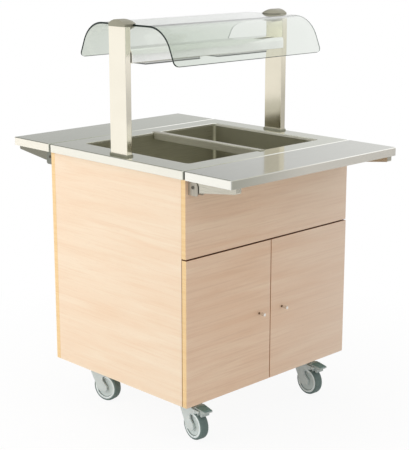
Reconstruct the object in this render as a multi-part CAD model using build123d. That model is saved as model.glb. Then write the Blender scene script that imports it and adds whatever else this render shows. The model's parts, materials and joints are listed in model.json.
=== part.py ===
from build123d import *
import math
import os

# Hot buffet counter on swivel casters: a cabinet with two doors under a fixed apron, a folded
# stainless worktop with one heated well, a fold-down tray shelf on either long side, and two posts
# that carry a bent glass canopy and a lamp housing.
# Frame: origin on the floor under the middle, X along the doors, the doors face -Y, Z up. Millimetres.

# Worktop and shelves, folded from stainless sheet
worktop_height = 921.0      # floor to the top of the worktop
worktop_length = 790.0      # along X
worktop_depth = 656.0       # along Y
edge_height = 28.0          # turned-down edge
sheet = 1.5                 # thickness of the sheet
edge_bend = 3.0             # outer radius of the bend along the top edges
edge_corner = 5.0           # outer radius of the upright corners
edge_return = 20.0          # lip folded in under the turned-down edge
shelf_depth = 199.0         # along Y
shelf_gap = 6.0             # between a shelf and the worktop

# Heated well
well_offset = 10.0          # middle of the well and of the gantry over it, to the right of the middle
end_strip = 82.5            # mean width of the worktop left at the ends of the opening
side_strip = 73.0           # worktop left on each long side of the opening
mouth_corner = 12.0         # upright corner radius of the opening
mouth_rim = 3.0             # thickness of the turned-down rim
mouth_lip = 9.0             # height of the turned-down rim
mouth_bend = 2.4            # radius of the rim's upper edge
well_depth = 175.0          # worktop to the tank's floor
tank_sheet = 1.2            # wall of the tank
tank_fit = 0.2              # between the rim and the tank
tank_flange = 25.0          # flange under the worktop
tank_floor_bend = 10.0      # radius between the tank's walls and its floor
insulation = 22.0           # space between the tank and its jacket
jacket_sheet = 1.0          # wall of the jacket
jacket_drop = 34.0          # space between the tank's floor and the jacket's floor
bar_width = 25.0            # cross bar along X
bar_height = 25.0           # cross bar along Z
bar_sheet = 2.0             # wall of the cross bar
bar_offset = 17.0           # middle of the bar to the right of the well's middle
bar_end_gap = 1.0           # between the bar's ends and the opening
bar_tab = 11.0              # reach of the bar's tabs over the worktop
bar_tab_round = 3.0
bar_tab_hole = 2.5          # radius
seat_gap = 0.3              # between pieces that rest on each other but move apart
heater_width = 9.0          # flattened heater under the tank
heater_height = 6.0
heater_runs = 4
heater_pitch = 100.0        # between the heater's runs
heater_bend = 45.0
heater_inset = 85.7         # tank's end walls to the ends of the runs

# Drain of the tank
drain_inset = 115.7         # tank's left wall to the middle of the drain
drain_pipe = 14.0           # radius of the pipe
drain_wall = 3.0            # wall of the pipe
drain_flange = 22.0         # radius of the flange in the tank
drain_flange_height = 2.0
strainer_sheet = 1.5        # slotted plate across the drain
strainer_slots = 4
strainer_slot = 3.0         # width of a slot
strainer_pitch = 4.6        # between the slots
strainer_margin = 1.0       # plate left round the slots
valve_drop = 61.0           # jacket's floor to the middle of the valve
valve_radius = 22.0
valve_height = 40.0
valve_bevel = 5.5
valve_outlet = 38.0         # middle of the valve to the end of the outlet
stem_radius = 4.0           # stem of the lever
boss_radius = 10.0
boss_length = 30.0          # middle of the valve to the face of the boss
lever_length = 50.0
lever_width = 14.0
lever_sheet = 4.0
lever_tip = 6.5             # corner radius of the lever's tip
lever_hub = 9.0             # radius of the lever's hub

# Cabinet
end_overhang = 7.0          # worktop beyond the end panels
apron_proud = 3.5           # apron and back panel beyond the worktop
board = 19.0                # thickness of the boards
board_round = 1.0           # edge radius of the boards
apron_height = 252.0
door_gap = 4.0              # between the apron and the doors
door_split = 3.0            # between the doors
door_standoff = 2.0         # between the doors and the carcass
door_round = 2.0            # radius of the upright hinge edge
knob_inset = 54.0           # from the split to a knob's middle
knob_radius = 5.5
knob_neck = 3.5
knob_neck_length = 6.75
knob_flare = 13.5           # from the door to the end of the flare
knob_length = 27.0
knob_chamfer = 1.0
cup_inset = 22.5            # from a door's outer edge to the middle of its hinge cups
cup_radius = 17.5
cup_depth = 11.5
cup_wall = 1.2
cup_rim = 2.5               # width of the cup's rim on the door
cup_rim_height = 1.0
cup_fit = 0.1
cup_offset = 65.0           # from a door's top and bottom to its cups
link_width = 13.0           # hinge link in each cup, along X
link_height = 18.0
hinge_arm_length = 58.0
hinge_arm_width = 22.0
hinge_arm_height = 13.0
hinge_arm_tail = 6.5        # height at the back end

# Controls in the cupboard
control_reach = 70.0        # along X, from the right end panel
control_depth = 120.0
control_height = 140.0
control_setback = 27.5      # from the carcass front to the box
control_round = 4.0
dial_radius = 20.0
dial_length = 18.0
dial_skirt = 6.0            # thickness of the dial's wide part
dial_grip = 15.0            # radius of the dial's narrow part
dial_round = 2.0
dial_pointer = 3.0          # width of the pointer ridge
dial_pointer_reach = 19.0
dial_shaft = 3.0
dial_shaft_length = 12.0
dial_raise = 30.0           # dial's middle above the middle of the box
rocker_length = 22.0        # along X
rocker_half = 9.0           # half height
rocker_front = 6.0          # pivot to the front corners
rocker_back = 5.0
rocker_back_half = 6.3      # half height of the back
rocker_round = 0.8
rocker_dip = 2.0            # hollow of the rocker's front
rocker_tilt = 8.0           # degrees, at rest
rocker_drop = 35.0          # rocker's middle below the middle of the box
rocker_clearance = 0.6
rocker_pin = 1.5
rocker_pin_length = 3.0
gland_inset = 37.0          # inner edge of the back rail to the gland's middle
gland_stem = 10.0
gland_hex = 13.0
gland_hex_height = 9.0
gland_dome = 11.0
gland_dome_height = 13.0
gland_round = 5.5
gland_bore = 5.0

# Swivel casters, trailing towards -Y when not turned
wheel_radius = 50.0
tyre_width = 31.0
tyre_height = 7.0
tyre_bevel = 5.5
tyre_bevel_drop = 2.0       # fall of the upper part of the bevel
tyre_fit = 0.05             # between a tyre and its rim
rim_width = 33.0
rim_lip = 7.0               # height of the raised ring on the rim
web_width = 25.0
web_slope = 1.0             # run of the slopes at the web's edges
hub_radius = 9.0
hub_width = 36.0
axle_radius = 5.0
running_fit = 0.05          # radial, of everything that turns on a pin
hub_gap = 0.5               # between the hub and a fork leg
leg = 5.0                   # thickness of a fork leg
leg_skin = 2.0              # left outside the axle's end
caster_trail = 38.0         # swivel axis to the axle
wheel_top_gap = 3.5         # wheel to the crown
crown_height = 17.7
crown_front = 18.0          # swivel axis to the front of the crown
crown_back = 80.0           # swivel axis to the back of the crown's skirts
skirt_low = 41.0            # axle up to the skirts' lower edge at the legs
skirt_high = 57.0           # axle up to the skirts' lower edge at the back
tail_drop = 7.7             # crown's top to the top of its tail
tail_length = 36.0
tail_slope = 6.0            # run of the slope between the crown's top and its tail
leg_front = 38.0            # axle to the front edge of a leg
leg_back = 14.0             # axle to the back edge of a leg
leg_foot = 14.0             # axle to the lower edge of a leg
leg_bend = 16.0             # axle up to the bend of a leg's front edge
leg_rake = 13.0             # slope of a leg's front edge below that bend
leg_hip = 6.0               # axle up to the curve of a leg's back edge
leg_waist = 5.0             # axle to the back edge above that curve
waist_rise = 20.0           # height of that curve
crown_round = 3.0
shoulder_round = 18.0       # crown into the front of a leg
leg_round = 15.0
toe_round = 17.0
heel_round = 13.0
waist_round = 12.0
skirt_round = 8.0
tail_round = 2.5
swivel_gap = 0.3
race_radius = 24.0
race_height = 5.0
king_pin = 6.0              # radius
king_nut = 8.5              # radius of the retaining nut
nut_gap = 0.5               # round the nut
king_nut_height = 6.0
plate_x = 105.0
plate_y = 85.0
plate = 3.5
plate_corner = 8.0
rail_height = 22.5          # chassis rails
rail_width = 90.0
rail_inset = 43.0           # cabinet's side to the end of a rail
rail_sheet = 2.5
rail_bend = 5.0
caster_inset_x = 104.0      # cabinet's sides to the swivel axes, mean of left and right
caster_offset = 4.0         # middle of the running gear to the right of the middle
caster_inset_y = 99.5
caster_turn = {"front_left": -7.0, "front_right": -4.0, "back_left": 11.0, "back_right": 6.0}

# Brake pedals of the front casters
pedal_pivot_back = 64.0     # swivel axis to the pedal's pin
pedal_pivot_drop = 13.7     # crown's top to the pedal's pin
pedal_pin = 3.0
pedal_eye = 5.5
pedal_slope = 6.0           # degrees below level
pedal_lift = 9.0            # pin to the underside of the plate
pedal_sheet = 4.0
pedal_front = 14.0          # pin to the front end of the plate
pedal_reach = 42.0          # pin to the tip
pedal_width = 40.0          # at the front end
pedal_tip = 33.0            # at the tip
pedal_round = 5.0
pedal_wedge = 18.0          # pin to the knee of the lever's body
pedal_knee = 1.0            # pin up to that knee
pedal_edge = 1.5            # thickness of the body at the tip
shoe_start = 12.0           # pin to the front of the brake shoe
shoe_end = 26.0             # pin to the back of the brake shoe
shoe_drop = 11.0            # pin to the shoe's lower end
shoe_round = 1.5
pedal_toe = 12.5            # pin to the stop under it
pedal_gap = 0.5             # between the pedal's eye and the skirts
pedal_room = 3.0            # between the pedal's eye and the crown

# Folding brackets of the shelves
bracket_inset = 12.0        # cabinet's side to the outer cheek
bracket_width = 28.0
bracket_sheet = 2.5
pivot_out = 21.0            # from the panel's face
pivot_drop = 22.0           # below the shelf's underside
cheek_radius = 20.5
cheek_drop = 26.0           # pin to the lower edge of the cheeks
cheek_corner = 8.0
arm_gap = 0.5               # between an arm and the cheeks
arm_sheet = 2.5
arm_setback = 2.5           # shelf's edge to the tip
arm_tip = 17.0              # height at the tip
arm_back = 14.0             # pin to the end by the panel
arm_heel = 16.0             # pin to the lower edge by the panel
arm_heel_round = 12.0
arm_tip_round = 4.0
arm_top_round = 2.0
bracket_pin = 4.0
pin_head = 6.0
pin_head_height = 1.5

# Gantry
post_width = 80.0           # along Y
post_thickness = 25.0       # along X
post_height = 411.0
post_corner = 3.5
post_wall = 3.0
post_inset = 16.0           # mean distance from the worktop's ends to the posts' outer faces
collar_margin = 4.0
collar_height = 6.0
collar_fit = 0.2
glass = 6.0
glass_flat = 113.5          # middle to the start of the bend
glass_bend = 103.5          # outer radius
glass_turn = 67.5           # degrees
glass_lip = 60.0            # straight stretch below the bend
glass_corner = 18.0
glass_setback = 10.0        # post's inner face to the end of the sheet
glass_end_gap = 0.5
gasket = 1.0
gasket_margin = 2.0
cap_height = 15.0
nose_setback = 4.0          # post's inner face to the start of the caps' rounded noses
housing_lift = 297.0        # worktop to the housing's underside
housing_width = 90.0
housing_height = 45.0
housing_round = 18.0
housing_foot = 3.0          # radius of the lower edges
housing_foot_inside = 0.5
housing_wall = 2.5
lamp_end_gap = 70.0         # post to a reflector
lamp_middle_gap = 85.0      # between the reflectors
reflector_width = 60.0
reflector_top_width = 34.0
reflector_height = 26.0
reflector_drop = 10.0       # below the housing's underside
reflector_sheet = 1.0
reflector_fit = 0.5
reflector_rim = 6.0         # flange under the housing
lamp_radius = 5.5
lamp_cap = 22.0             # length of the ceramic ends
lamp_cap_size = 15.0
lamp_drop = 2.0             # middle of the lamp below the housing's underside

# Allowances of the modelling
over = 1.0                  # how far a cut reaches past a face
round_margin = 0.1          # keeps two roundings of one edge apart

# Values worked out from the dimensions above
cabinet_length = worktop_length - 2 * end_overhang
cabinet_depth = worktop_depth + 2 * apron_proud
mouth_length = worktop_length - 2 * end_strip
mouth_depth = worktop_depth - 2 * side_strip
shelf_bottom = worktop_height - edge_height
panel_top = shelf_bottom
fork_inner = hub_width + 2 * hub_gap
fork_width = fork_inner + 2 * leg
crown_bottom = 2 * wheel_radius + wheel_top_gap
crown_top = crown_bottom + crown_height
race_bottom = crown_top + swivel_gap
plate_bottom = race_bottom + race_height
caster_height = plate_bottom + plate
panel_bottom = caster_height + rail_height
floor_top = panel_bottom + board
half_length = cabinet_length / 2
half_depth = cabinet_depth / 2
carcass_x = half_length - board
carcass_y = half_depth - board
apron_bottom = panel_top - apron_height
door_top = apron_bottom - door_gap
door_inner = -carcass_y - door_standoff
door_outer = door_inner - board
hinge_levels = (panel_bottom + cup_offset, door_top - cup_offset)
caster_x = half_length - caster_inset_x
caster_y = half_depth - caster_inset_y
rail_length = cabinet_length - 2 * rail_inset
gland_y = caster_y - rail_width / 2 - gland_inset
control_front = -carcass_y + control_setback
control_x = carcass_x - control_reach / 2
control_z = (hinge_levels[0] + hinge_levels[1]) / 2
rocker_y = control_front + rocker_dip + rocker_clearance
tank_floor = worktop_height - well_depth
tank_top = worktop_height - sheet
tank_length = mouth_length + 2 * (mouth_rim + tank_fit)
tank_depth = mouth_depth + 2 * (mouth_rim + tank_fit)
tank_corner = mouth_corner + mouth_rim + tank_fit
bar_top = worktop_height + seat_gap + bar_sheet
bar_bottom = bar_top - bar_height
jacket_floor = tank_floor - tank_sheet - jacket_drop
heater_length = tank_length - 2 * heater_inset
drain_x = drain_inset - tank_length / 2
drain_y = -heater_pitch
valve_z = jacket_floor - jacket_sheet - valve_drop
pivot_y = half_depth + pivot_out
pivot_z = shelf_bottom - pivot_drop
bracket_x = half_length - bracket_inset - bracket_width / 2
arm_width = bracket_width - 2 * (bracket_sheet + arm_gap)
arm_length = worktop_depth / 2 + shelf_gap + shelf_depth - arm_setback - pivot_y
post_top = worktop_height + post_height
post_outer = worktop_length / 2 - post_inset
post_inner = post_outer - post_thickness
post_x = (post_inner + post_outer) / 2
glass_end = post_inner - glass_setback
glass_bottom = post_top + gasket
glass_top = glass_bottom + glass
cap_bottom = glass_top + gasket
nose_x = post_inner - nose_setback
housing_bottom = worktop_height + housing_lift
reflector_length = post_inner - lamp_end_gap - lamp_middle_gap / 2
lamp_x = (lamp_middle_gap + reflector_length) / 2


def block(x0, x1, y0, y1, z0, z1):
    """Box between two corners."""
    return Pos((x0 + x1) / 2, (y0 + y1) / 2, (z0 + z1) / 2) * Box(x1 - x0, y1 - y0, z1 - z0)


def prism(length, depth, corner, z0, z1):
    """Upright prism about the Z axis with rounded corners."""
    return extrude(Pos(0, 0, z0) * RectangleRounded(length, depth, corner), z1 - z0)


def rod_x(radius, x0, x1, y=0.0, z=0.0):
    """Round rod along X."""
    return Pos((x0 + x1) / 2, y, z) * Rot(0, 90, 0) * Cylinder(radius, x1 - x0)


def rod_y(radius, y0, y1, x=0.0, z=0.0):
    """Round rod along Y."""
    return Pos(x, (y0 + y1) / 2, z) * Rot(90, 0, 0) * Cylinder(radius, y1 - y0)


def rod_z(radius, z0, z1, x=0.0, y=0.0):
    """Round rod along Z."""
    return Pos(x, y, (z0 + z1) / 2) * Cylinder(radius, z1 - z0)


def side_plate(corners, x0, x1):
    """Plate between two X planes with a closed outline of corners, each given as (y, z, radius)."""
    points = [(y, z) for y, z, radius in corners]
    radii = [radius for y, z, radius in corners]
    outline = make_face(FilletPolyline(*points, radius=radii, close=True))
    return Pos(x0, 0, 0) * extrude(Plane.YZ * outline, x1 - x0)


def flip_x(shape):
    """Mirror image on the other end of the counter."""
    return mirror(shape, about=Plane.YZ)


def flip_y(shape):
    """Mirror image on the other long side of the counter."""
    return mirror(shape, about=Plane.XZ)


def all_four(shape):
    """A shape and its mirror images at the four corners, as separate solids."""
    pair = [shape, flip_x(shape)]
    return Compound(pair + [flip_y(one) for one in pair])


def both_ends(shape):
    """A shape and its mirror image, as separate solids."""
    return Compound([shape, flip_x(shape)])


def faced_board(x0, x1, y0, y1, z0, z1):
    """Board with slightly rounded edges."""
    plain = block(x0, x1, y0, y1, z0, z1)
    return fillet(plain.edges(), board_round)


def folded_tray(length, depth):
    """Sheet with turned-down edges and a folded lip, its top at Z = 0."""
    def shell(inset, z0, z1):
        body = block(inset - length / 2, length / 2 - inset, inset - depth / 2, depth / 2 - inset, z0, z1)
        body = fillet(body.edges().filter_by(Axis.Z), edge_corner - inset)
        return fillet(body.faces().sort_by(Axis.Z)[-1].edges(), edge_bend - inset)
    outer = shell(0.0, -edge_height, 0.0)
    hollow = shell(sheet, sheet - edge_height, -sheet)
    opening = prism(length - 2 * edge_return, depth - 2 * edge_return, edge_corner,
                    -edge_height, 2 * sheet - edge_height)
    return outer - hollow - opening


def make_worktop():
    """Folded top with the turned-down rim of the well's mouth."""
    top = folded_tray(worktop_length, worktop_depth)
    spot = Pos(well_offset, 0, 0)
    top += spot * prism(mouth_length + 2 * mouth_rim, mouth_depth + 2 * mouth_rim,
                        mouth_corner + mouth_rim, -mouth_lip, 0)
    top -= spot * prism(mouth_length, mouth_depth, mouth_corner, -edge_height, edge_height)
    limit = mouth_length / 2 + mouth_rim
    rim = [edge for edge in top.edges().group_by(Axis.Z)[-1]
           if abs(edge.center().X - well_offset) < limit
           and abs(edge.center().Y) < mouth_depth / 2 + mouth_rim]
    return Pos(0, 0, worktop_height) * fillet(rim, mouth_bend)


def make_tank():
    """Open tank with a flange under the worktop and a drain hole."""
    wall = 2 * tank_sheet
    tank = prism(tank_length + wall, tank_depth + wall, tank_corner + tank_sheet,
                 tank_floor - tank_sheet, tank_top)
    flange = wall + 2 * tank_flange
    tank += prism(tank_length + flange, tank_depth + flange, tank_corner, tank_top - tank_sheet, tank_top)
    hollow = prism(tank_length, tank_depth, tank_corner, tank_floor, tank_top + over)
    hollow = fillet(hollow.faces().sort_by(Axis.Z)[0].edges(), tank_floor_bend)
    tank -= hollow
    return tank - rod_z(drain_pipe + tank_fit, jacket_floor, tank_top, drain_x, drain_y)


def make_jacket():
    """Casing round the tank, open at the top, with a hole for the drain."""
    gap = 2 * (tank_sheet + insulation)
    wall = 2 * jacket_sheet
    jacket_top = tank_top - tank_sheet
    jacket = prism(tank_length + gap + wall, tank_depth + gap + wall, tank_corner,
                   jacket_floor - jacket_sheet, jacket_top)
    jacket -= prism(tank_length + gap, tank_depth + gap, tank_corner - jacket_sheet,
                    jacket_floor, jacket_top + over)
    return jacket - rod_z(drain_pipe + tank_fit, valve_z, tank_floor, drain_x, drain_y)


def make_heater():
    """Flattened heater laid to and fro under the tank's floor."""
    level = tank_floor - tank_sheet - heater_height / 2
    points = []
    for run in range(heater_runs):
        y = (run - (heater_runs - 1) / 2) * heater_pitch
        ends = (-heater_length / 2, heater_length / 2)
        if run % 2:
            ends = ends[::-1]
        points += [(ends[0], y, level), (ends[1], y, level)]
    path = FilletPolyline(*points, radius=heater_bend)
    section = Plane(path @ 0, x_dir=(0, 1, 0), z_dir=path % 0) * Rectangle(heater_width, heater_height)
    return sweep(section, path)


def make_drain_valve():
    """Drain flange with its strainer, pipe and valve with a boss for the lever's stem."""
    top = tank_floor + drain_flange_height
    pipe = rod_z(drain_flange, tank_floor, top)
    pipe += rod_z(drain_pipe, valve_z - valve_outlet, top)
    body = rod_z(valve_radius, valve_z - valve_height / 2, valve_z + valve_height / 2)
    pipe += chamfer(body.edges().filter_by(GeomType.CIRCLE), valve_bevel)
    pipe += rod_y(boss_radius, -boss_length, 0, 0, valve_z)
    bore = drain_pipe - drain_wall
    pipe -= rod_z(bore, valve_z - valve_outlet - over, valve_z - valve_height / 2)
    pipe -= rod_z(bore, valve_z + valve_height / 2, top - strainer_sheet)
    inlet = rod_z(bore - strainer_margin, top - strainer_sheet - over, top + over)
    for slot in range(strainer_slots):
        y = (slot - (strainer_slots - 1) / 2) * strainer_pitch
        strip = block(-bore, bore, y - strainer_slot / 2, y + strainer_slot / 2, tank_floor - bore, top + over)
        pipe -= inlet & strip
    pipe -= rod_y(stem_radius + running_fit, -boss_length - over, -bore, 0, valve_z)
    return Pos(drain_x, drain_y, 0) * pipe


def make_drain_lever():
    """Quarter-turn lever, level when the drain is shut."""
    face = -boss_length - seat_gap
    lever = rod_y(lever_hub, face - 2 * lever_sheet, face)
    half = lever_width / 2
    arm = block(0, lever_length, face - 2 * lever_sheet, face - lever_sheet, -half, half)
    tip = arm.faces().sort_by(Axis.X)[-1].edges().filter_by(Axis.Y)
    lever += fillet(tip, lever_tip)
    lever += rod_y(stem_radius, face - lever_sheet, drain_wall - drain_pipe - seat_gap)
    return Pos(drain_x, drain_y, valve_z) * lever


def make_cross_bar():
    """Inverted channel across the well, hung on the worktop by a drilled tab at each end."""
    end = mouth_depth / 2 - bar_end_gap
    bar = block(-bar_width / 2, bar_width / 2, -end, end, bar_bottom, bar_top)
    bar = fillet(bar.faces().sort_by(Axis.Z)[-1].edges().filter_by(Axis.Y), edge_bend)
    inner = bar_width / 2 - bar_sheet
    bar -= block(-inner, inner, bar_sheet - end, end - bar_sheet,
                 bar_bottom - over, bar_top - edge_bend)
    tip = mouth_depth / 2 + bar_tab
    tab = block(-inner, inner, end - bar_sheet, tip, bar_top - bar_sheet, bar_top)
    tab = fillet(tab.faces().sort_by(Axis.Y)[-1].edges().filter_by(Axis.Z), bar_tab_round)
    tab -= rod_z(bar_tab_hole, worktop_height, bar_top + over, 0, tip - bar_tab / 2)
    return Pos(bar_offset, 0, 0) * (bar + tab + flip_y(tab))


def door_cups(x):
    """Hinge cups of one door, sunk from its inner face, each with the end of its link."""
    cups = []
    for level in hinge_levels:
        cup = rod_y(cup_radius, door_inner - cup_depth, door_inner, x, level)
        cup += rod_y(cup_radius + cup_rim, door_inner, door_inner + cup_rim_height, x, level)
        cup_floor = door_inner - cup_depth + cup_wall
        cup -= rod_y(cup_radius - cup_wall, cup_floor, door_inner + cup_depth, x, level)
        cup += block(x - link_width / 2, x + link_width / 2, cup_floor - cup_wall / 2,
                     door_inner + cup_rim_height, level - link_height / 2, level + link_height / 2)
        cups.append(cup)
    return Compound(cups)


def make_left_door():
    """Left door with its hinge edge rounded about the hinge axis and holes for the hinge cups."""
    door = faced_board(-half_length, -door_split / 2, door_outer, door_inner, panel_bottom, door_top)
    axis_x = door_round - half_length
    axis_y = door_outer + door_round
    hinge_edge = block(-half_length, axis_x, door_outer, axis_y, panel_bottom, door_top)
    hinge_edge -= rod_z(door_round, panel_bottom, door_top, axis_x, axis_y)
    door -= hinge_edge
    for level in hinge_levels:
        door -= rod_y(cup_radius + cup_fit, door_inner - cup_depth - cup_fit, door_inner + over,
                      cup_inset - half_length, level)
    return door


def make_knob(x):
    """Turned door knob."""
    profile = make_face(Polyline((0, 0), (knob_neck, 0), (knob_neck, knob_neck_length),
                                 (knob_radius, knob_flare), (knob_radius, knob_length - knob_chamfer),
                                 (knob_radius - knob_chamfer, knob_length), (0, knob_length), close=True))
    knob = revolve(Plane.XZ * profile, Axis.Z)
    return Pos(x, door_outer, (panel_bottom + door_top) / 2) * Rot(90, 0, 0) * knob


def make_hinge_arms():
    """Arms of the concealed hinges on the end panels, ending just short of the links in the cups."""
    front = door_inner + cup_rim_height + seat_gap
    back = front + hinge_arm_length
    crest = carcass_x - hinge_arm_height
    plan = make_face(Polyline((carcass_x, front), (carcass_x, back), (carcass_x - hinge_arm_tail, back),
                              (crest, (front + back) / 2), (crest, front), close=True))
    arms = []
    for level in hinge_levels:
        arm = extrude(Pos(0, 0, level - hinge_arm_width / 2) * plan, hinge_arm_width)
        arms += [arm, flip_x(arm)]
    return Compound(arms)


def make_chassis_rail():
    """Channel under the cabinet's floor that two casters bolt to."""
    half = rail_length / 2
    rail = block(-half, half, -rail_width / 2, rail_width / 2, caster_height, panel_bottom)
    rail = fillet(rail.faces().sort_by(Axis.Z)[0].edges().filter_by(Axis.X), rail_bend)
    inner = rail_width / 2 - rail_sheet
    rail -= block(-half - over, half + over, -inner, inner, caster_height + rail_sheet, panel_bottom + over)
    return Pos(0, caster_y, 0) * rail


def make_gland():
    """Cable gland under the cabinet's floor."""
    hexagon = extrude(Pos(0, 0, panel_bottom) * RegularPolygon(gland_hex, 6), -gland_hex_height)
    dome_top = panel_bottom - gland_hex_height
    dome = rod_z(gland_dome, dome_top - gland_dome_height, dome_top)
    dome = fillet(dome.faces().sort_by(Axis.Z)[0].edges(), gland_round)
    gland = hexagon + dome + rod_z(gland_stem, panel_bottom, floor_top)
    gland -= rod_z(gland_bore, 0, worktop_height)
    return Pos(0, gland_y, 0) * gland


def make_bottom_panel():
    """Floor of the cupboard with the hole for the cable gland."""
    floor = faced_board(-carcass_x, carcass_x, -carcass_y, carcass_y, panel_bottom, floor_top)
    return floor - rod_z(gland_stem + cup_fit, 0, worktop_height, 0, gland_y)


def make_control_box():
    """Closed control housing on the right end panel, with seats for the dial and the rocker."""
    box = block(carcass_x - control_reach, carcass_x, control_front, control_front + control_depth,
                control_z - control_height / 2, control_z + control_height / 2)
    box = fillet(box.faces().sort_by(Axis.Y)[0].edges(), control_round)
    box -= rod_y(dial_shaft + running_fit, control_front - over, control_front + dial_shaft_length,
                 control_x, control_z + dial_raise)
    half_x = rocker_length / 2 + rocker_clearance
    reach = math.hypot(rocker_half, rocker_front) + rocker_clearance
    box -= block(control_x - half_x, control_x + half_x, control_front - over, rocker_y + reach,
                 control_z - rocker_drop - reach, control_z - rocker_drop + reach)
    pin = half_x + rocker_pin_length
    return box - rod_x(rocker_pin + running_fit, control_x - pin, control_x + pin,
                       rocker_y, control_z - rocker_drop)


def make_dial():
    """Thermostat knob with a pointer ridge and a shaft."""
    dial = rod_y(dial_radius, -dial_skirt, 0)
    grip = rod_y(dial_grip, -dial_length, -dial_skirt)
    dial += fillet(grip.faces().sort_by(Axis.Y)[0].edges(), dial_round)
    dial += block(-dial_pointer / 2, dial_pointer / 2, -dial_length, -dial_skirt, 0, dial_pointer_reach)
    dial += rod_y(dial_shaft, 0, dial_shaft_length - seat_gap)
    return Pos(control_x, control_front - seat_gap, control_z + dial_raise) * dial


def make_rocker():
    """Rocker switch on its pin, tilted to its off side."""
    half = rocker_length / 2
    rocker = side_plate([(-rocker_front, -rocker_half, rocker_round),
                         (rocker_dip - rocker_front, 0, rocker_round),
                         (-rocker_front, rocker_half, rocker_round),
                         (rocker_back, rocker_back_half, rocker_round),
                         (rocker_back, -rocker_back_half, rocker_round)], -half, half)
    pin = half + rocker_clearance + rocker_pin_length - seat_gap
    rocker += rod_x(rocker_pin, -pin, pin)
    return Pos(control_x, rocker_y, control_z - rocker_drop) * Rot(-rocker_tilt, 0, 0) * rocker


def make_caster_plate():
    """Top plate with its race, king pin and retaining nut."""
    top = prism(plate_x, plate_y, plate_corner, plate_bottom, caster_height)
    top += rod_z(race_radius, race_bottom, plate_bottom)
    nut_bottom = crown_bottom - king_nut_height
    top += rod_z(king_pin, nut_bottom, race_bottom)
    return top + rod_z(king_nut, nut_bottom, crown_bottom - swivel_gap)


def make_fork(braked):
    """Moulded fork: a crown with side skirts and two swept legs, and ears for a pedal if braked."""
    axle_z = wheel_radius
    tail_top = crown_top - tail_drop
    step_y = tail_length - crown_back
    leg_y = leg_front - caster_trail
    back_y = -leg_back - caster_trail
    waist_y = leg_waist - caster_trail
    foot = axle_z - leg_foot
    hip = axle_z + leg_hip
    corners = [(crown_front, crown_top, crown_round),
               (crown_front, 2 * wheel_radius, shoulder_round),
               (leg_y, axle_z + leg_bend, leg_round),
               (leg_y - leg_rake, foot, toe_round),
               (back_y, foot, heel_round),
               (back_y, hip, waist_round),
               (waist_y, hip + waist_rise, waist_round),
               (waist_y, axle_z + skirt_low, skirt_round),
               (-crown_back, axle_z + skirt_high, tail_round),
               (-crown_back, tail_top, tail_round),
               (step_y, tail_top, crown_round),
               (step_y + tail_slope, crown_top, crown_round)]
    fork = side_plate(corners, -fork_width / 2, fork_width / 2)
    inner = fork_inner / 2
    fork -= rod_x(wheel_radius + wheel_top_gap, -inner, inner, -caster_trail, axle_z)
    fork -= block(-inner, inner, -caster_trail - 2 * wheel_radius, crown_front + leg, 0, axle_z)
    bore = fork_width / 2 - leg_skin
    fork -= rod_x(axle_radius + running_fit, -bore, bore, -caster_trail, axle_z)
    fork -= rod_z(king_pin + running_fit, 0, crown_top + over)
    fork -= rod_z(king_nut + nut_gap, 0, crown_bottom)
    if braked:
        fork -= block(-inner, inner, -crown_back - over, pedal_eye + pedal_room - pedal_pivot_back,
                      0, crown_top + over)
        fork -= rod_x(pedal_pin + running_fit, -fork_width, fork_width, -pedal_pivot_back,
                      crown_top - pedal_pivot_drop)
    return fork


def make_axle():
    """Axle with its ends inside the fork legs."""
    half = fork_width / 2 - leg_skin - seat_gap
    return rod_x(axle_radius, -half, half, -caster_trail, wheel_radius)


def turned(profile):
    """Body of revolution about the axle from (radius, x) corners or edges."""
    shape = revolve(Plane.XY * profile, Axis.X)
    return Pos(0, -caster_trail, wheel_radius) * shape


def make_rim():
    """Wheel disc with a hub and a raised ring at its edge."""
    edge = wheel_radius - tyre_height
    ring = edge - rim_lip
    bore = axle_radius + running_fit
    half = [(hub_width / 2, bore), (hub_width / 2, hub_radius), (web_width / 2, hub_radius + web_slope),
            (web_width / 2, ring - web_slope), (rim_width / 2, ring), (rim_width / 2, edge)]
    other = [(-x, radius) for x, radius in reversed(half)]
    return turned(make_face(Polyline(*half, *other, close=True)))


def make_tyre():
    """Tyre with shoulders bevelled in two steps."""
    bore = wheel_radius - tyre_height + tyre_fit
    half = tyre_width / 2
    side = [(half, bore), (half, wheel_radius - tyre_bevel),
            (half - tyre_bevel_drop, wheel_radius - tyre_bevel_drop), (half - tyre_bevel, wheel_radius)]
    other = [(-x, radius) for x, radius in reversed(side)]
    return turned(make_face(Polyline(*side, *other, close=True)))


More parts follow.
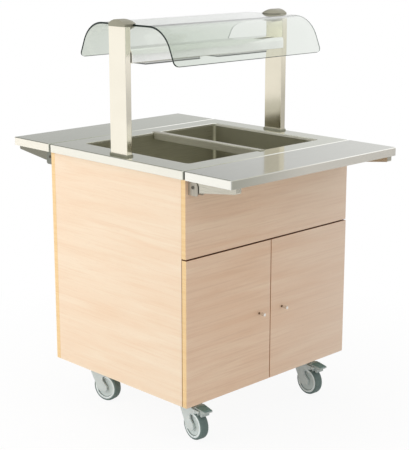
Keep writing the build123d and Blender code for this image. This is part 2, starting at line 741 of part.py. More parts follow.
def make_pedal():
    """Foot pedal: a sloping plate over the crown's tail, a wedge with the brake shoe, and its pin."""
    half = fork_inner / 2 - pedal_gap
    tip = pedal_edge - pedal_reach
    lever = side_plate([(0, pedal_lift, 0), (tip, pedal_lift, 0), (tip, pedal_lift - pedal_edge, 0),
                        (-pedal_wedge, pedal_knee, 0), (0, -pedal_eye, 0)], -pedal_tip / 2, pedal_tip / 2)
    middle = (shoe_start + shoe_end) / 2
    lever += side_plate([(-shoe_start, pedal_knee, 0), (-middle, -shoe_drop, shoe_round),
                         (-shoe_end, -shoe_drop, shoe_round), (-shoe_end, pedal_lift, 0)],
                        -tyre_width / 2, tyre_width / 2)
    outline = Polyline((-pedal_width / 2, pedal_front), (pedal_width / 2, pedal_front),
                       (pedal_tip / 2, -pedal_reach), (-pedal_tip / 2, -pedal_reach), close=True)
    plate_top = extrude(Pos(0, 0, pedal_lift) * make_face(outline), pedal_sheet)
    plate_top = fillet(plate_top.edges().filter_by(Axis.Z), pedal_round)
    pedal = Rot(pedal_slope, 0, 0) * (lever + plate_top)
    pedal += rod_x(pedal_eye, -half, half)
    pedal += rod_x(pedal_pin, -fork_width / 2, fork_width / 2)
    pedal += block(-tyre_width / 2, tyre_width / 2, -pedal_eye, 0, -pedal_toe, 0)
    return Pos(0, -pedal_pivot_back, crown_top - pedal_pivot_drop) * pedal


def make_wall_bracket():
    """Forked bracket on the apron, with holes for its pin, at the right end of the front."""
    half = bracket_width / 2
    corners = [(pivot_out, cheek_radius, 0),
               (-cheek_radius, cheek_radius, cheek_radius - round_margin),
               (-cheek_radius, -cheek_drop, cheek_corner),
               (pivot_out, -cheek_drop, 0)]
    bracket = side_plate(corners, -half, half)
    inner = half - bracket_sheet
    bracket -= block(-inner, inner, -2 * cheek_radius, pivot_out - bracket_sheet,
                     -2 * cheek_drop, 2 * cheek_drop)
    bracket -= rod_x(bracket_pin + running_fit, -bracket_width, bracket_width)
    return Pos(bracket_x, -pivot_y, pivot_z) * bracket


def make_bracket_pin():
    """Headed pivot pin of one bracket."""
    half = bracket_width / 2
    pin = rod_x(bracket_pin, -half, half)
    head = rod_x(pin_head, half, half + pin_head_height)
    pin += head + flip_x(head)
    return Pos(bracket_x, -pivot_y, pivot_z) * pin


def make_shelf_arm():
    """Tapered channel arm, open below, at the right end of the front."""
    half = arm_width / 2
    corners = [(arm_back, pivot_drop, arm_top_round),
               (-arm_length, pivot_drop, 0),
               (-arm_length, pivot_drop - arm_tip, arm_tip_round),
               (-arm_heel, -arm_heel, arm_heel_round),
               (arm_back, -arm_heel, arm_heel_round)]
    arm = side_plate(corners, -half, half)
    inner = half - arm_sheet
    arm -= block(-inner, inner, arm_sheet - arm_length, 2 * arm_back, -2 * arm_heel, pivot_drop - arm_sheet)
    arm -= rod_x(bracket_pin + running_fit, -bracket_width, bracket_width)
    return Pos(bracket_x, -pivot_y, pivot_z) * arm


def make_front_shelf():
    """Tray shelf on the door side."""
    middle = worktop_depth / 2 + shelf_gap + shelf_depth / 2
    return Pos(0, -middle, worktop_height) * folded_tray(worktop_length, shelf_depth)


def post_outline(margin):
    """Plan of a post, grown by a margin."""
    return RectangleRounded(post_thickness + 2 * margin, post_width + 2 * margin, post_corner + margin)


def make_post():
    """Hollow flat post at the right end."""
    tube = post_outline(0.0) - post_outline(-post_wall)
    return Pos(post_x, 0, worktop_height) * extrude(tube, post_height)


def make_collar():
    """Foot collar of the right post."""
    ring = extrude(post_outline(collar_margin), collar_height)
    ring = chamfer(ring.faces().sort_by(Axis.Z)[-1].edges(), collar_margin / 2)
    ring -= extrude(post_outline(collar_fit), collar_height)
    return Pos(post_x, 0, worktop_height) * ring


def make_glass():
    """Bent canopy sheet with rounded lower corners."""
    half = []
    for depth in (0.0, glass):
        flat = Line((0, glass_top - depth), (glass_flat, glass_top - depth))
        bend = CenterArc((glass_flat, glass_top - glass_bend), glass_bend - depth, 90, -glass_turn)
        lip = Line(bend @ 1, bend @ 1 + (bend % 1) * glass_lip)
        half.append([flat, bend, lip])
    outer, inner = half
    ends = [Line(outer[2] @ 1, inner[2] @ 1), Line(outer[0] @ 0, inner[0] @ 0)]
    face = Plane.YZ * make_face(outer + inner + ends)
    sheet_half = extrude(face, glass_end, both=True)
    canopy = sheet_half + flip_y(sheet_half)
    corners = canopy.edges().filter_by(lambda edge: abs(edge.length - glass) < round_margin)
    return fillet(corners, glass_corner)


def lens_half():
    """Domed half of a lens-shaped grip: straight over the post, with a round nose inboard, base at Z = 0."""
    half = post_width / 2
    radius = (half ** 2 + cap_height ** 2) / (2 * cap_height)
    segment = Pos(0, cap_height - radius) * Circle(radius) & Pos(0, radius) * Rectangle(2 * half, 2 * radius)
    ridge = Pos(nose_x, 0, 0) * extrude(Plane.YZ * segment, post_outer - nose_x)
    dome = Pos(0, 0, cap_height - radius) * Sphere(radius)
    dome &= block(-radius, 0, -radius, radius, 0, radius)
    return ridge + Pos(nose_x, 0, 0) * dome


def make_upper_cap():
    """Upper grip of the right post, closing the post outside the end of the glass."""
    skirt = block(glass_end + glass_end_gap, post_outer, -post_width / 2, post_width / 2,
                  post_top, cap_bottom)
    outer = skirt.edges().filter_by(Axis.Z).sort_by(Axis.X)[-2:]
    return Pos(0, 0, cap_bottom) * lens_half() + fillet(outer, post_corner)


def make_lower_clamp():
    """Lower grip on the inner face of the right post."""
    dish = mirror(lens_half(), about=Plane.XY)
    dish &= block(0, post_inner, -post_width, post_width, -post_width, 0)
    return Pos(0, 0, post_top) * dish


def make_gaskets():
    """Pads below and above the glass at both posts."""
    pads = []
    for level in (post_top, glass_top):
        pad = rod_z(post_width / 2 - gasket_margin, level, level + gasket, nose_x)
        pad &= block(0, glass_end, -post_width, post_width, level, level + gasket)
        pads += [pad, flip_x(pad)]
    return Compound(pads)


def housing_section(inset):
    """Section of the lamp housing in (y, z), shrunk by an inset."""
    half = housing_width / 2 - inset
    top = housing_height - inset
    foot = max(housing_foot - inset, housing_foot_inside)
    crown = housing_round - inset
    return make_face(FilletPolyline((-half, inset), (half, inset), (half, top), (-half, top),
                                    radius=[foot, foot, crown, crown], close=True))


def make_housing():
    """Hollow lamp housing between the posts, open below at the two reflectors."""
    section = Plane.YZ * (housing_section(0.0) - housing_section(housing_wall))
    body = extrude(section, post_inner, both=True)
    slot = block(lamp_x - reflector_length / 2, lamp_x + reflector_length / 2,
                 -reflector_width / 2, reflector_width / 2, -over, 2 * housing_wall)
    return Pos(0, 0, housing_bottom) * (body - slot - flip_x(slot))


def make_reflector():
    """Trough reflector of the right lamp, with a skirt and a flange under the housing."""
    def trough(inset, bottom):
        low = reflector_width / 2 - reflector_fit - inset
        high = reflector_top_width / 2 - inset
        level = reflector_height - reflector_drop - inset
        half = reflector_length / 2 - reflector_fit - inset
        outline = make_face(Polyline((-low, bottom), (low, bottom), (low, 0), (high, level),
                                     (-high, level), (-low, 0), close=True))
        return Pos(-half, 0, 0) * extrude(Plane.YZ * outline, 2 * half)
    shape = trough(0.0, -reflector_drop)
    rim_x = reflector_length / 2 + reflector_rim
    rim_y = reflector_width / 2 + reflector_rim
    shape += block(-rim_x, rim_x, -rim_y, rim_y, -reflector_sheet, 0)
    shape -= trough(reflector_sheet, -reflector_drop - over)
    return Pos(lamp_x, 0, housing_bottom) * shape


def make_lamp():
    """Quartz tube with ceramic ends that fit between the ends of the right reflector."""
    end = reflector_length / 2 - reflector_fit - reflector_sheet
    lamp = rod_x(lamp_radius, lamp_cap - end, end - lamp_cap)
    size = lamp_cap_size / 2
    cap = block(end - lamp_cap, end, -size, size, -size, size)
    lamp += cap + flip_x(cap)
    return Pos(lamp_x, 0, housing_bottom - lamp_drop) * lamp


nodes = {}

right_end = faced_board(carcass_x, half_length, -carcass_y, carcass_y, panel_bottom, panel_top)
nodes["end_panel_right"] = right_end
nodes["end_panel_left"] = flip_x(right_end)
nodes["back_panel"] = faced_board(-half_length, half_length, carcass_y, half_depth, panel_bottom, panel_top)
nodes["apron_panel"] = faced_board(-half_length, half_length, -half_depth, -carcass_y,
                                   apron_bottom, panel_top)
nodes["bottom_panel"] = make_bottom_panel()
nodes["cable_gland"] = make_gland()
nodes["hinge_arms"] = make_hinge_arms()

left_door = make_left_door()
left_cups = door_cups(cup_inset - half_length)
left_knob = make_knob(-door_split / 2 - knob_inset)
nodes["door_left"] = left_door
nodes["door_right"] = flip_x(left_door)
nodes["hinge_cups_left"] = left_cups
nodes["hinge_cups_right"] = flip_x(left_cups)
nodes["knob_left"] = left_knob
nodes["knob_right"] = flip_x(left_knob)

well = Pos(well_offset, 0, 0)
nodes["worktop"] = make_worktop()
nodes["well_tank"] = well * make_tank()
nodes["tank_jacket"] = well * make_jacket()
nodes["heating_element"] = well * make_heater()
nodes["drain_valve"] = well * make_drain_valve()
nodes["drain_lever"] = well * make_drain_lever()
nodes["cross_bar"] = well * make_cross_bar()
nodes["control_box"] = make_control_box()
nodes["thermostat_knob"] = make_dial()
nodes["lamp_switch"] = make_rocker()

shelf_arm = make_shelf_arm()
front_shelf = make_front_shelf()
nodes["front_shelf"] = front_shelf
nodes["back_shelf"] = flip_y(front_shelf)
nodes["front_shelf_arms"] = both_ends(shelf_arm)
nodes["back_shelf_arms"] = both_ends(flip_y(shelf_arm))
nodes["wall_brackets"] = all_four(make_wall_bracket())
nodes["bracket_pins"] = all_four(make_bracket_pin())

right_post = make_post()
nodes["post_right"] = well * right_post
nodes["post_left"] = well * flip_x(right_post)
nodes["post_collars"] = well * both_ends(make_collar())
nodes["canopy_glass"] = well * make_glass()
nodes["upper_caps"] = well * both_ends(make_upper_cap())
nodes["lower_clamps"] = well * both_ends(make_lower_clamp())
nodes["glass_gaskets"] = well * make_gaskets()
nodes["lamp_housing"] = well * make_housing()
nodes["lamp_reflectors"] = well * both_ends(make_reflector())
nodes["quartz_lamps"] = well * both_ends(make_lamp())

rail = make_chassis_rail()
nodes["chassis_rails"] = Compound([rail, flip_y(rail)])
caster_plates = []
for place, turn in caster_turn.items():
    side_x = caster_offset + (caster_x if "right" in place else -caster_x)
    side_y = caster_y if "back" in place else -caster_y
    spot = Pos(side_x, side_y, 0)
    turned_spot = spot * Rot(0, 0, turn)
    braked = "front" in place
    caster_plates.append(spot * make_caster_plate())
    nodes["caster_fork_" + place] = turned_spot * make_fork(braked)
    nodes["caster_axle_" + place] = turned_spot * make_axle()
    nodes["caster_rim_" + place] = turned_spot * make_rim()
    nodes["caster_tyre_" + place] = turned_spot * make_tyre()
    if braked:
        nodes["brake_pedal_" + place] = turned_spot * make_pedal()
nodes["caster_plates"] = Compound(caster_plates)

os.makedirs("parts", exist_ok=True)
for name, shape in nodes.items():
    export_step(shape, os.path.join("parts", name + ".step"))
print(len(nodes), "nodes written")
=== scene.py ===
import bmesh
import bpy
import json
import math
from mathutils import Matrix, Vector


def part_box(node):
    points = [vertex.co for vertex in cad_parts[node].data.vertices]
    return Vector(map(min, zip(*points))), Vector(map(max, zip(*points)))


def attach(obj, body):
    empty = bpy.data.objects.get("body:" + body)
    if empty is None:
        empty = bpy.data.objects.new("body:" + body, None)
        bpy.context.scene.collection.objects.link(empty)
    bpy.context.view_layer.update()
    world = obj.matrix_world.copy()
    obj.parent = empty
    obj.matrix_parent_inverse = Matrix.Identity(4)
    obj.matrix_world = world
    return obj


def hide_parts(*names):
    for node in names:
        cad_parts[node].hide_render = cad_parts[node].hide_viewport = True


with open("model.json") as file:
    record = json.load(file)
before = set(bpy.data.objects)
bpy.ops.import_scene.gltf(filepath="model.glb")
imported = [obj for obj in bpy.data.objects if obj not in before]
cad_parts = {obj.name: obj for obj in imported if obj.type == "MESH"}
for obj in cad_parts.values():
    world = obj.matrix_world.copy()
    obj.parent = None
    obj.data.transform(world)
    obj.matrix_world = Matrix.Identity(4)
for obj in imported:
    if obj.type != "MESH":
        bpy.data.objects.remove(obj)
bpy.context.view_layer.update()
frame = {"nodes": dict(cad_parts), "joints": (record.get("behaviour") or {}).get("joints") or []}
nodes = frame["nodes"]
joints = {joint["name"]: joint for joint in frame["joints"]}

# Camera of the photograph: place in metres, view direction in degrees, focal length in pixels
CAMERA_PLACE = Vector((-2.8223, -2.8923, 1.6272))
CAMERA_YAW = 44.49          # from +Y towards +X
CAMERA_PITCH = 13.9         # below level
CAMERA_FOCAL = 1193.6
PICTURE_HEIGHT = 450
SENSOR = 36.0

# Light: levels are set so that a colour on the left end renders about as it is written
WORLD_LIGHT = 0.63
KEY_POWER = 36.0
KEY_PLACE = (-3.0, 1.3, 1.5)
KEY_SIZE = 2.6
TOP_POWER = 22.0
TOP_PLACE = (-0.3, 0.4, 3.4)
TOP_SIZE = 3.0
AIM = (0.0, 0.0, 0.75)

# Floor, in metres
FLOOR_SIZE = 60.0
FLOOR_NEAR = 0.55           # from the middle to where the floor starts to fade into the white
FLOOR_FAR = 1.5
FLOOR_VEIL = 0.92           # share of white over the floor in the middle

# What mirrors see dimmer: a stretch of the floor at the front right, and the upper back of the surroundings
MIRROR_FRONT = 0.48         # share of light missing on the stretch of floor
FRONT_NEAR = (4.35, 6.0)    # metres of X - Y over which the stretch starts
FRONT_FAR = (11.1, 15.9)    # and ends
MIRROR_BACK = 0.60          # share of light missing at the upper back
BACK_AHEAD = (0.5, 0.8)     # Y of a direction over which the upper back starts
BACK_ABOVE = (0.0, 0.3)     # and Z

# Casters, in metres
PLACES = ("front_left", "front_right", "back_left", "back_right")
AXLE_BORE = 0.00505
HUB_RADIUS = 0.009
HUB_HALF = 0.018
HUB_ROUND = 0.0008
HUB_DRAFT = 0.0002
HUB_FOOT = 0.0012           # fillet between the hub and the web
WEB_HALF = 0.0125
GROOVE_WIDTH = 0.0016       # groove between the web and the ring
GROOVE_SLOPE = 0.0003
GROOVE_RISE = 0.0008
RING_INNER = 0.0352
RING_HALF = 0.0165
RING_SLOPE = 0.0004         # rounding of the ring's inner edge
RING_DROP = 0.0012
RING_ROUND = 0.0018
RIM_RADIUS = 0.043
RIM_SLOPE = 0.0004          # rounding of the ring's outer edge
RIM_DROP = 0.0010
RIM_ROUND = 0.0022
RIM_EDGE = 0.0024
DISC_STEPS = 72
TYRE_BORE = 0.04305
TYRE_HALF = 0.0155
TYRE_SHOULDER = 0.0455      # radius where the round shoulder starts
TYRE_TREAD = 0.009          # half width of the tread between the shoulders
TYRE_LINE = 0.0006          # half width of the fine line round the tread
LINE_FLOOR = 0.0003         # half width of its floor
LINE_DEPTH = 0.0003
TYRE_STEPS = 96
SHOULDER_STEPS = 8
WHEEL_RADIUS = 0.05
PEDAL_SLOPE = math.radians(6.0)
PEDAL_TOP = 0.013           # pin to the top of the pedal's plate
PEDAL_START = -0.004        # pad along the plate, from the pin
PEDAL_END = 0.0405
PEDAL_WIDE = 0.0185         # half widths of the pad at its two ends
PEDAL_NARROW = 0.0152
PAD_CORNER = 0.004
PAD_THICKNESS = 0.0012
PAD_RIBS = 5
RIB_START = 0.005           # pad's end to the first rib
RIB_PITCH = 0.0075
RIB_MARGIN = 0.0035         # pad's edge to a rib's end
RIB_HALF = 0.0011
RIB_CORNER = 0.00099
RIB_SINK = 0.0002           # depth of a rib's foot in the pad
RIB_HEIGHT = 0.0008
PLATE_BOLTS = (0.040, 0.030)
PLATE_SHEET = 0.0035
BOLT_REACH = 0.0050         # half the width across the flats
BOLT_HEIGHT = 0.0028

# Canopy: a bent sheet of glass, in metres
GLASS = 0.006
GLASS_FLAT = 0.1135         # middle to the start of the bend
GLASS_BEND = 0.1035         # outer radius
GLASS_TURN = math.radians(67.5)
GLASS_LIP = 0.060
GLASS_CORNER = 0.018
GLASS_POLISH = 0.0012       # bevel of the polished edges
GLASS_EDGE = 0.45           # share of the thickness that the bevels leave
FLAT_STEPS = 4
BEND_STEPS = 28
CORNER_STEPS = 10

# Lamps under the housing, in metres
LAMP_RADIUS = 0.0055
LAMP_GLASS = 0.0009
LAMP_STEPS = 32
LAMP_GAP = 0.088            # between the two lamps
LAMP_SEAT = 0.002           # depth of a tube's end in its cap
CAP_LENGTH = 0.022
CAP_HALF = 0.0073
CAP_CORNER = 0.0025
CAP_BEVEL = 0.0008
CAP_GAP = 0.0003            # cap to the wall beside it
COIL_RADIUS = 0.0024
COIL_WIRE = 0.00045
COIL_PITCH = 0.0042
COIL_STEPS = 10             # in one turn
COIL_CORNERS = 5
REFLECTOR_LENGTH = 0.2535
REFLECTOR_SHEET = 0.001
REFLECTOR_INSET = 0.0032    # reflector's edges to a screw
REFLECTOR_SCREW = 0.0022

# Hinges and other small fittings, in metres; profiles list (radius, level)
FINE_BEVEL = 0.0003
CUP_INSET = 0.0225          # door's outer edge to the middle of a hinge cup
CUP_LEVELS = (0.2175, 0.572)
EAR_REACH = 0.024           # cup's middle to an ear's screw, along Z
EAR_INSET = 0.0085          # cup's middle to an ear's screw, along X
EAR_HALVES = (0.0065, 0.0068)
EAR_CORNER = 0.005
EAR_SHEET = 0.001
EAR_SCREW = 0.003
BUMPER_SHARES = (0.12, 0.86)    # of a door's width, from its outer edge
BUMPER_LEVEL = 0.162
BUMPER_PROFILE = ((0.004, 0.0), (0.004, 0.0008), (0.0032, 0.0014), (0.0016, 0.0017))
BUMPER_STEPS = 24
WING_PLACE = 0.040          # front of the hinge arms to the middle of their plates
WING_REACH = 0.0195         # cup's level to a plate's middle
WING_HALVES = (0.009, 0.0083)
WING_CORNER = 0.004
WING_SHEET = 0.0018
WING_SCREW = 0.0034
WING_SHIFT = 0.001          # plate's middle to its screw
BOX_INSET = 0.009           # control housing's edges to a screw
BOX_SCREW = 0.003
DIAL_RADIUS = 0.0235
DIAL_TICKS = 10
DIAL_SWEEP = math.radians(270.0)
TICK_HALF = 0.0004
TICK_LONG = 0.0016          # half lengths
TICK_SHORT = 0.0010
TICK_CORNER = 0.0003
TICK_HEIGHT = 0.0002
TICK_BEVEL = 0.0001
TICK_SINK = 0.0001
PIN_PROFILE = ((0.0058, 0.0), (0.0056, 0.0005), (0.0047, 0.0011), (0.0030, 0.0015), (0.0026, 0.0015),
               (0.0022, 0.0006))
PIN_STEPS = 32

# Screw heads, in shares of their radius: (radius, level) of the dome, (length, level) of the cross recess
SCREW_DOME = ((1.0, -0.1), (1.0, 0.12), (0.88, 0.34), (0.72, 0.42))
SCREW_CROSS = ((0.58, 0.46), (0.42, 0.12))
CROSS_WIDTH = 0.28          # share of the cross's length

# Bolt heads, in shares of their reach and of their height
BOLT_WASHER = 1.45
BOLT_CROWN = 0.97
WASHER_LEVEL = 0.12
CHAMFER_LEVEL = 0.85

# Meshes
TURN_STEPS = 48
ARC_STEPS = 6
BEVEL = 0.0004
MITRE_LIMIT = 0.2           # keeps sharp corners from running far when an outline shrinks
SHARP_ANGLE = math.radians(32)

# Places where painted light and shade change, in metres
NECK_LENGTH = 0.007
RIM_HEIGHT = 0.0035
DOOR_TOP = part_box("door_left")[1].z
KNOB_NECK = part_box("door_left")[0].y - NECK_LENGTH
WELL_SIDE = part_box("well_tank")[1].y
SHELF_MIDDLE = (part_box("back_shelf")[0].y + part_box("back_shelf")[1].y) / 2
REFLECTOR_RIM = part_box("lamp_reflectors")[0].z + RIM_HEIGHT


def srgb(red, green, blue):
    """Linear colour of an 8-bit screen colour."""
    def linear(value):
        share = value / 255
        if share <= 0.04045:
            return share / 12.92
        return ((share + 0.055) / 1.055) ** 2.4
    return (linear(red), linear(green), linear(blue), 1.0)


# Spans over which a finish changes, in levels of noise, shares of facing an axis, or metres
MID_NOISE = (0.3, 0.7)

# Faced boards: noise in grains per metre along X, Y and Z
BEECH_FIGURE = (2.2, 2.2, 22.0)
BEECH_LINES = (3.6, 3.6, 150.0)
BEECH_PORES = (45.0, 45.0, 900.0)
FIGURE_STOPS = (0.30, 0.50, 0.72)
LINES_SHOWN = (0.48, 0.70)
PORES_SHOWN = (0.62, 0.74)
BAND_SHOWN = (0.35, 0.7)
BOARD_FACING = (0.60, 0.75)
BOARD_ROUGHNESS = (0.36, 0.48)
# Painted light: faces along Y grow lighter towards the right over this stretch of X
RIGHT_PLACE = (-0.10, 0.40)
RIGHT_SHARE = 0.4
# Painted shade on the front edges of boards that face along X: where it starts along Y
FRONT_PLACE = (-0.20, -0.25)
# Painted shade in the gaps: where the doors meet, and where their tops meet the apron
MEETING_PLACE = (0.006, 0.003)
SEAM_PLACE = (0.006, 0.004)
SEAM_FACING = (0.80, 0.95)
PORE_TONE = srgb(205, 165, 135)
BAND_LIGHT = srgb(248, 215, 162)
BAND_DARK = srgb(241, 203, 146)
RIGHT_LIGHT_TONE = srgb(254, 238, 222)
FRONT_EDGE_SHADE = srgb(168, 128, 84)
MEETING_SHADE = srgb(206, 152, 108)
SEAM_SHADE = srgb(158, 104, 74)
# Light, middle and dark tone of the figure, tone of the lines, and their share
END_BEECH = (srgb(250, 230, 204), srgb(248, 224, 196), srgb(246, 218, 188), srgb(240, 206, 172), 0.38)
# The same beech, darker and warmer for the front and back boards: painted shade
SHADED_BEECH = (srgb(251, 223, 194), srgb(246, 213, 183), srgb(241, 203, 170), srgb(231, 194, 163), 0.58)

# Brushed sheet
BRUSH_LENGTH = 60           # length of a brush line, in widths
CLOUDS = (4.0, 4.0, 4.0)
CLOUDS_SHOWN = (0.45, 0.75)
CLOUDS_SHARE = 0.25
STREAKS_SHOWN = (0.30, 0.80)
STREAKS_SHARE = 0.3
# Faces this square to X or Y take their own tone of painted light and shade
SQUARE_FACING = (0.80, 0.96)
UPRIGHT_FACING = (0.05, 0.30)
# Painted highlight on the bends: how they face and where it starts along X; painted shade on the sides' left
# stretch
BENT_FACING = (0.20, 0.45)
LEFT_PLACE = (-0.40, -0.05)
BENDS_PLACE = (-0.20, 0.15)
# Blends of the painted tones nearer the middle, behind a place and below a rim
INSIDE_BLEND = 0.01
BEHIND_BLEND = 0.001
RIM_BLEND = 0.0005
BRUSHED_PLAY = 0.02         # roughness to either side
BEND_HIGHLIGHT_TONE = srgb(252, 252, 247)

# Coated pieces and glass
COAT_GRAIN = (900.0, 900.0, 900.0)
GRAIN_SHOWN = (0.55, 0.8)
GRAIN_SHARE = 0.3
COAT_MOTTLE = (9.0, 9.0, 9.0)
MOTTLE_SHOWN = (0.35, 0.75)
MOTTLE_SHARE = 0.6
COATED_PLAY = 0.05          # roughness to either side
# Painted light on the glass and its edges, paler towards the right: grains and reach of its uneven course,
# and its stretches of X
GLASS_WOBBLE = (3.0, 3.0, 3.0)
GLASS_PLACE = (-0.35, 0.40)
EDGE_WOBBLE = (60.0, 60.0, 60.0)
EDGE_PLACE = (-0.10, 0.35)
WOBBLE_REACH = 0.1


class NodeMaker:
    """Short calls that add nodes to a shader tree."""

    def __init__(self, tree):
        self.tree = tree
        self.place = self.node("ShaderNodeTexCoord")

    def node(self, kind, **settings):
        made = self.tree.nodes.new(kind)
        for name, value in settings.items():
            setattr(made, name, value)
        return made

    def plug(self, value, socket):
        """Link an output to a socket, or set the socket to a plain value."""
        if isinstance(value, bpy.types.NodeSocket):
            self.tree.links.new(value, socket)
        else:
            socket.default_value = value

    def span(self, factor, low, high, to_low=0.0, to_high=1.0, curve="LINEAR"):
        """A value mapped from one span to another, clamped."""
        spread = self.node("ShaderNodeMapRange", interpolation_type=curve)
        for socket, value in zip(spread.inputs, (factor, low, high, to_low, to_high)):
            self.plug(value, socket)
        return spread.outputs["Result"]

    def maths(self, operation, first, second=0.0):
        """Arithmetic on two values."""
        maths = self.node("ShaderNodeMath", operation=operation)
        self.plug(first, maths.inputs[0])
        self.plug(second, maths.inputs[1])
        return maths.outputs["Value"]

    def along(self, axis, system="Object"):
        """Part along an axis of the place in metres, or of another coordinate."""
        split = self.node("ShaderNodeSeparateXYZ")
        self.plug(self.place.outputs[system], split.inputs["Vector"])
        return split.outputs[axis]

    def seen_directly(self):
        """1 for rays from the camera, mirror rays and rays through glass."""
        rays = self.node("ShaderNodeLightPath")
        seen = self.maths("MAXIMUM", rays.outputs["Is Camera Ray"], rays.outputs["Is Glossy Ray"])
        return self.maths("MAXIMUM", seen, rays.outputs["Is Transmission Ray"])

    def mirror_level(self, drop):
        """1 for all rays but mirror rays, which lose a share."""
        rays = self.node("ShaderNodeLightPath")
        lost = self.maths("MULTIPLY", drop, rays.outputs["Is Glossy Ray"])
        return self.maths("SUBTRACT", 1.0, lost)


class Paint(NodeMaker):
    """A procedural material: one Principled shader, and calls that add textures to it."""

    def __init__(self, name, **sockets):
        self.material = bpy.data.materials.new(name)
        self.material.use_nodes = True
        super().__init__(self.material.node_tree)
        self.shader = self.tree.nodes["Principled BSDF"]
        for socket, value in sockets.items():
            self.set(socket.replace("_", " "), value)

    def set(self, socket, value):
        self.plug(value, self.shader.inputs[socket])

    def noise(self, stretch, detail=3.0, roughness=0.5, distortion=0.0):
        """Noise whose grains are 1/stretch metres along X, Y and Z."""
        mapping = self.node("ShaderNodeMapping")
        mapping.inputs["Scale"].default_value = stretch
        self.plug(self.place.outputs["Object"], mapping.inputs["Vector"])
        noise = self.node("ShaderNodeTexNoise")
        self.plug(mapping.outputs["Vector"], noise.inputs["Vector"])
        noise.inputs["Scale"].default_value = 1.0
        noise.inputs["Detail"].default_value = detail
        noise.inputs["Roughness"].default_value = roughness
        noise.inputs["Distortion"].default_value = distortion
        return noise.outputs["Fac"]

    def ramp(self, factor, *stops):
        """Colour ramp through (place, colour) stops."""
        ramp = self.node("ShaderNodeValToRGB")
        elements = ramp.color_ramp.elements
        while len(elements) < len(stops):
            elements.new(0.5)
        for element, (place, colour) in zip(elements, stops):
            element.position = place
            element.color = colour
        self.plug(factor, ramp.inputs["Fac"])
        return ramp.outputs["Color"]

    def mix(self, factor, first, second):
        """Mixture of two colours."""
        mix = self.node("ShaderNodeMix", data_type="RGBA")
        colours = [socket for socket in mix.inputs if socket.type == "RGBA"]
        self.plug(factor, mix.inputs["Factor"])
        self.plug(first, colours[0])
        self.plug(second, colours[1])
        return [socket for socket in mix.outputs if socket.type == "RGBA"][0]

    def facing(self, axis):
        """How squarely a face of the object at rest looks along an axis: 0 to 1."""
        return self.maths("ABSOLUTE", self.along(axis, "Normal"))

    def to_right(self, start, end, grains):
        """0 left of a stretch along X, 1 right of it, with an uneven course between."""
        wobble = self.span(self.noise(grains, detail=2.0), *MID_NOISE, -WOBBLE_REACH, WOBBLE_REACH)
        return self.span(self.maths("ADD", self.along("X"), wobble), start, end)

    def bump(self, height, strength, depth):
        """Relief of a given depth in metres."""
        bump = self.node("ShaderNodeBump")
        bump.inputs["Strength"].default_value = strength
        bump.inputs["Distance"].default_value = depth
        self.plug(height, bump.inputs["Height"])
        self.set("Normal", bump.outputs["Normal"])

    def blend(self, factor, other):
        """Let another shader take the place of the surface by a factor."""
        blend = self.node("ShaderNodeMixShader")
        self.plug(factor, blend.inputs["Fac"])
        self.plug(self.shader.outputs["BSDF"], blend.inputs[1])
        self.plug(other, blend.inputs[2])
        self.plug(blend.outputs["Shader"], self.tree.nodes["Material Output"].inputs["Surface"])


def board_paint(name, face, light, middle, dark, streak, share, split=False):
    """Faced board: level beech grain on the faces that look along an axis, a plain band on its edges.

    Faces along Y are lighter to the right: painted light. Boards that face along X have brown front edges:
    painted shade. With split, the edges where two doors meet, and where they meet the apron, are darker:
    painted shade in the gaps.
    """
    paint = Paint(name, Specular_IOR_Level=0.35)
    figure = paint.noise(BEECH_FIGURE, detail=4.0, roughness=0.55, distortion=0.5)
    lines = paint.noise(BEECH_LINES, detail=5.0, roughness=0.6, distortion=0.3)
    pores = paint.noise(BEECH_PORES, detail=2.0, roughness=0.5)
    tone = paint.ramp(figure, *zip(FIGURE_STOPS, (dark, middle, light)))
    tone = paint.mix(paint.span(lines, *LINES_SHOWN, 0.0, share), tone, streak)
    tone = paint.mix(paint.span(pores, *PORES_SHOWN, 0.0, share / 2), tone, PORE_TONE)
    band = paint.mix(paint.span(lines, *BAND_SHOWN), BAND_LIGHT, BAND_DARK)
    # Painted light: faces along Y lighter towards the right
    if face == "Y":
        right = paint.span(paint.along("X"), *RIGHT_PLACE, 0.0, RIGHT_SHARE)
        tone = paint.mix(right, tone, RIGHT_LIGHT_TONE)
    # Painted shade: brown on the front edges
    if face == "X":
        ahead = paint.span(paint.along("Y"), *FRONT_PLACE)
        band = paint.mix(paint.maths("MULTIPLY", paint.facing("Y"), ahead), band, FRONT_EDGE_SHADE)
    # Painted shade in the gaps between the doors and under the apron
    if split:
        from_middle = paint.maths("ABSOLUTE", paint.along("X"))
        band = paint.mix(paint.span(from_middle, *MEETING_PLACE), band, MEETING_SHADE)
        from_top = paint.maths("ABSOLUTE", paint.maths("SUBTRACT", paint.along("Z"), DOOR_TOP))
        level = paint.span(paint.facing("Z"), *SEAM_FACING)
        seam = paint.maths("MULTIPLY", level, paint.span(from_top, *SEAM_PLACE))
        band = paint.mix(seam, band, SEAM_SHADE)
    on_face = paint.span(paint.facing(face), *BOARD_FACING)
    paint.set("Base Color", paint.mix(on_face, band, tone))
    paint.set("Roughness", paint.span(lines, *MID_NOISE, *BOARD_ROUGHNESS))
    paint.bump(lines, strength=0.10, depth=0.0002)
    return paint.material


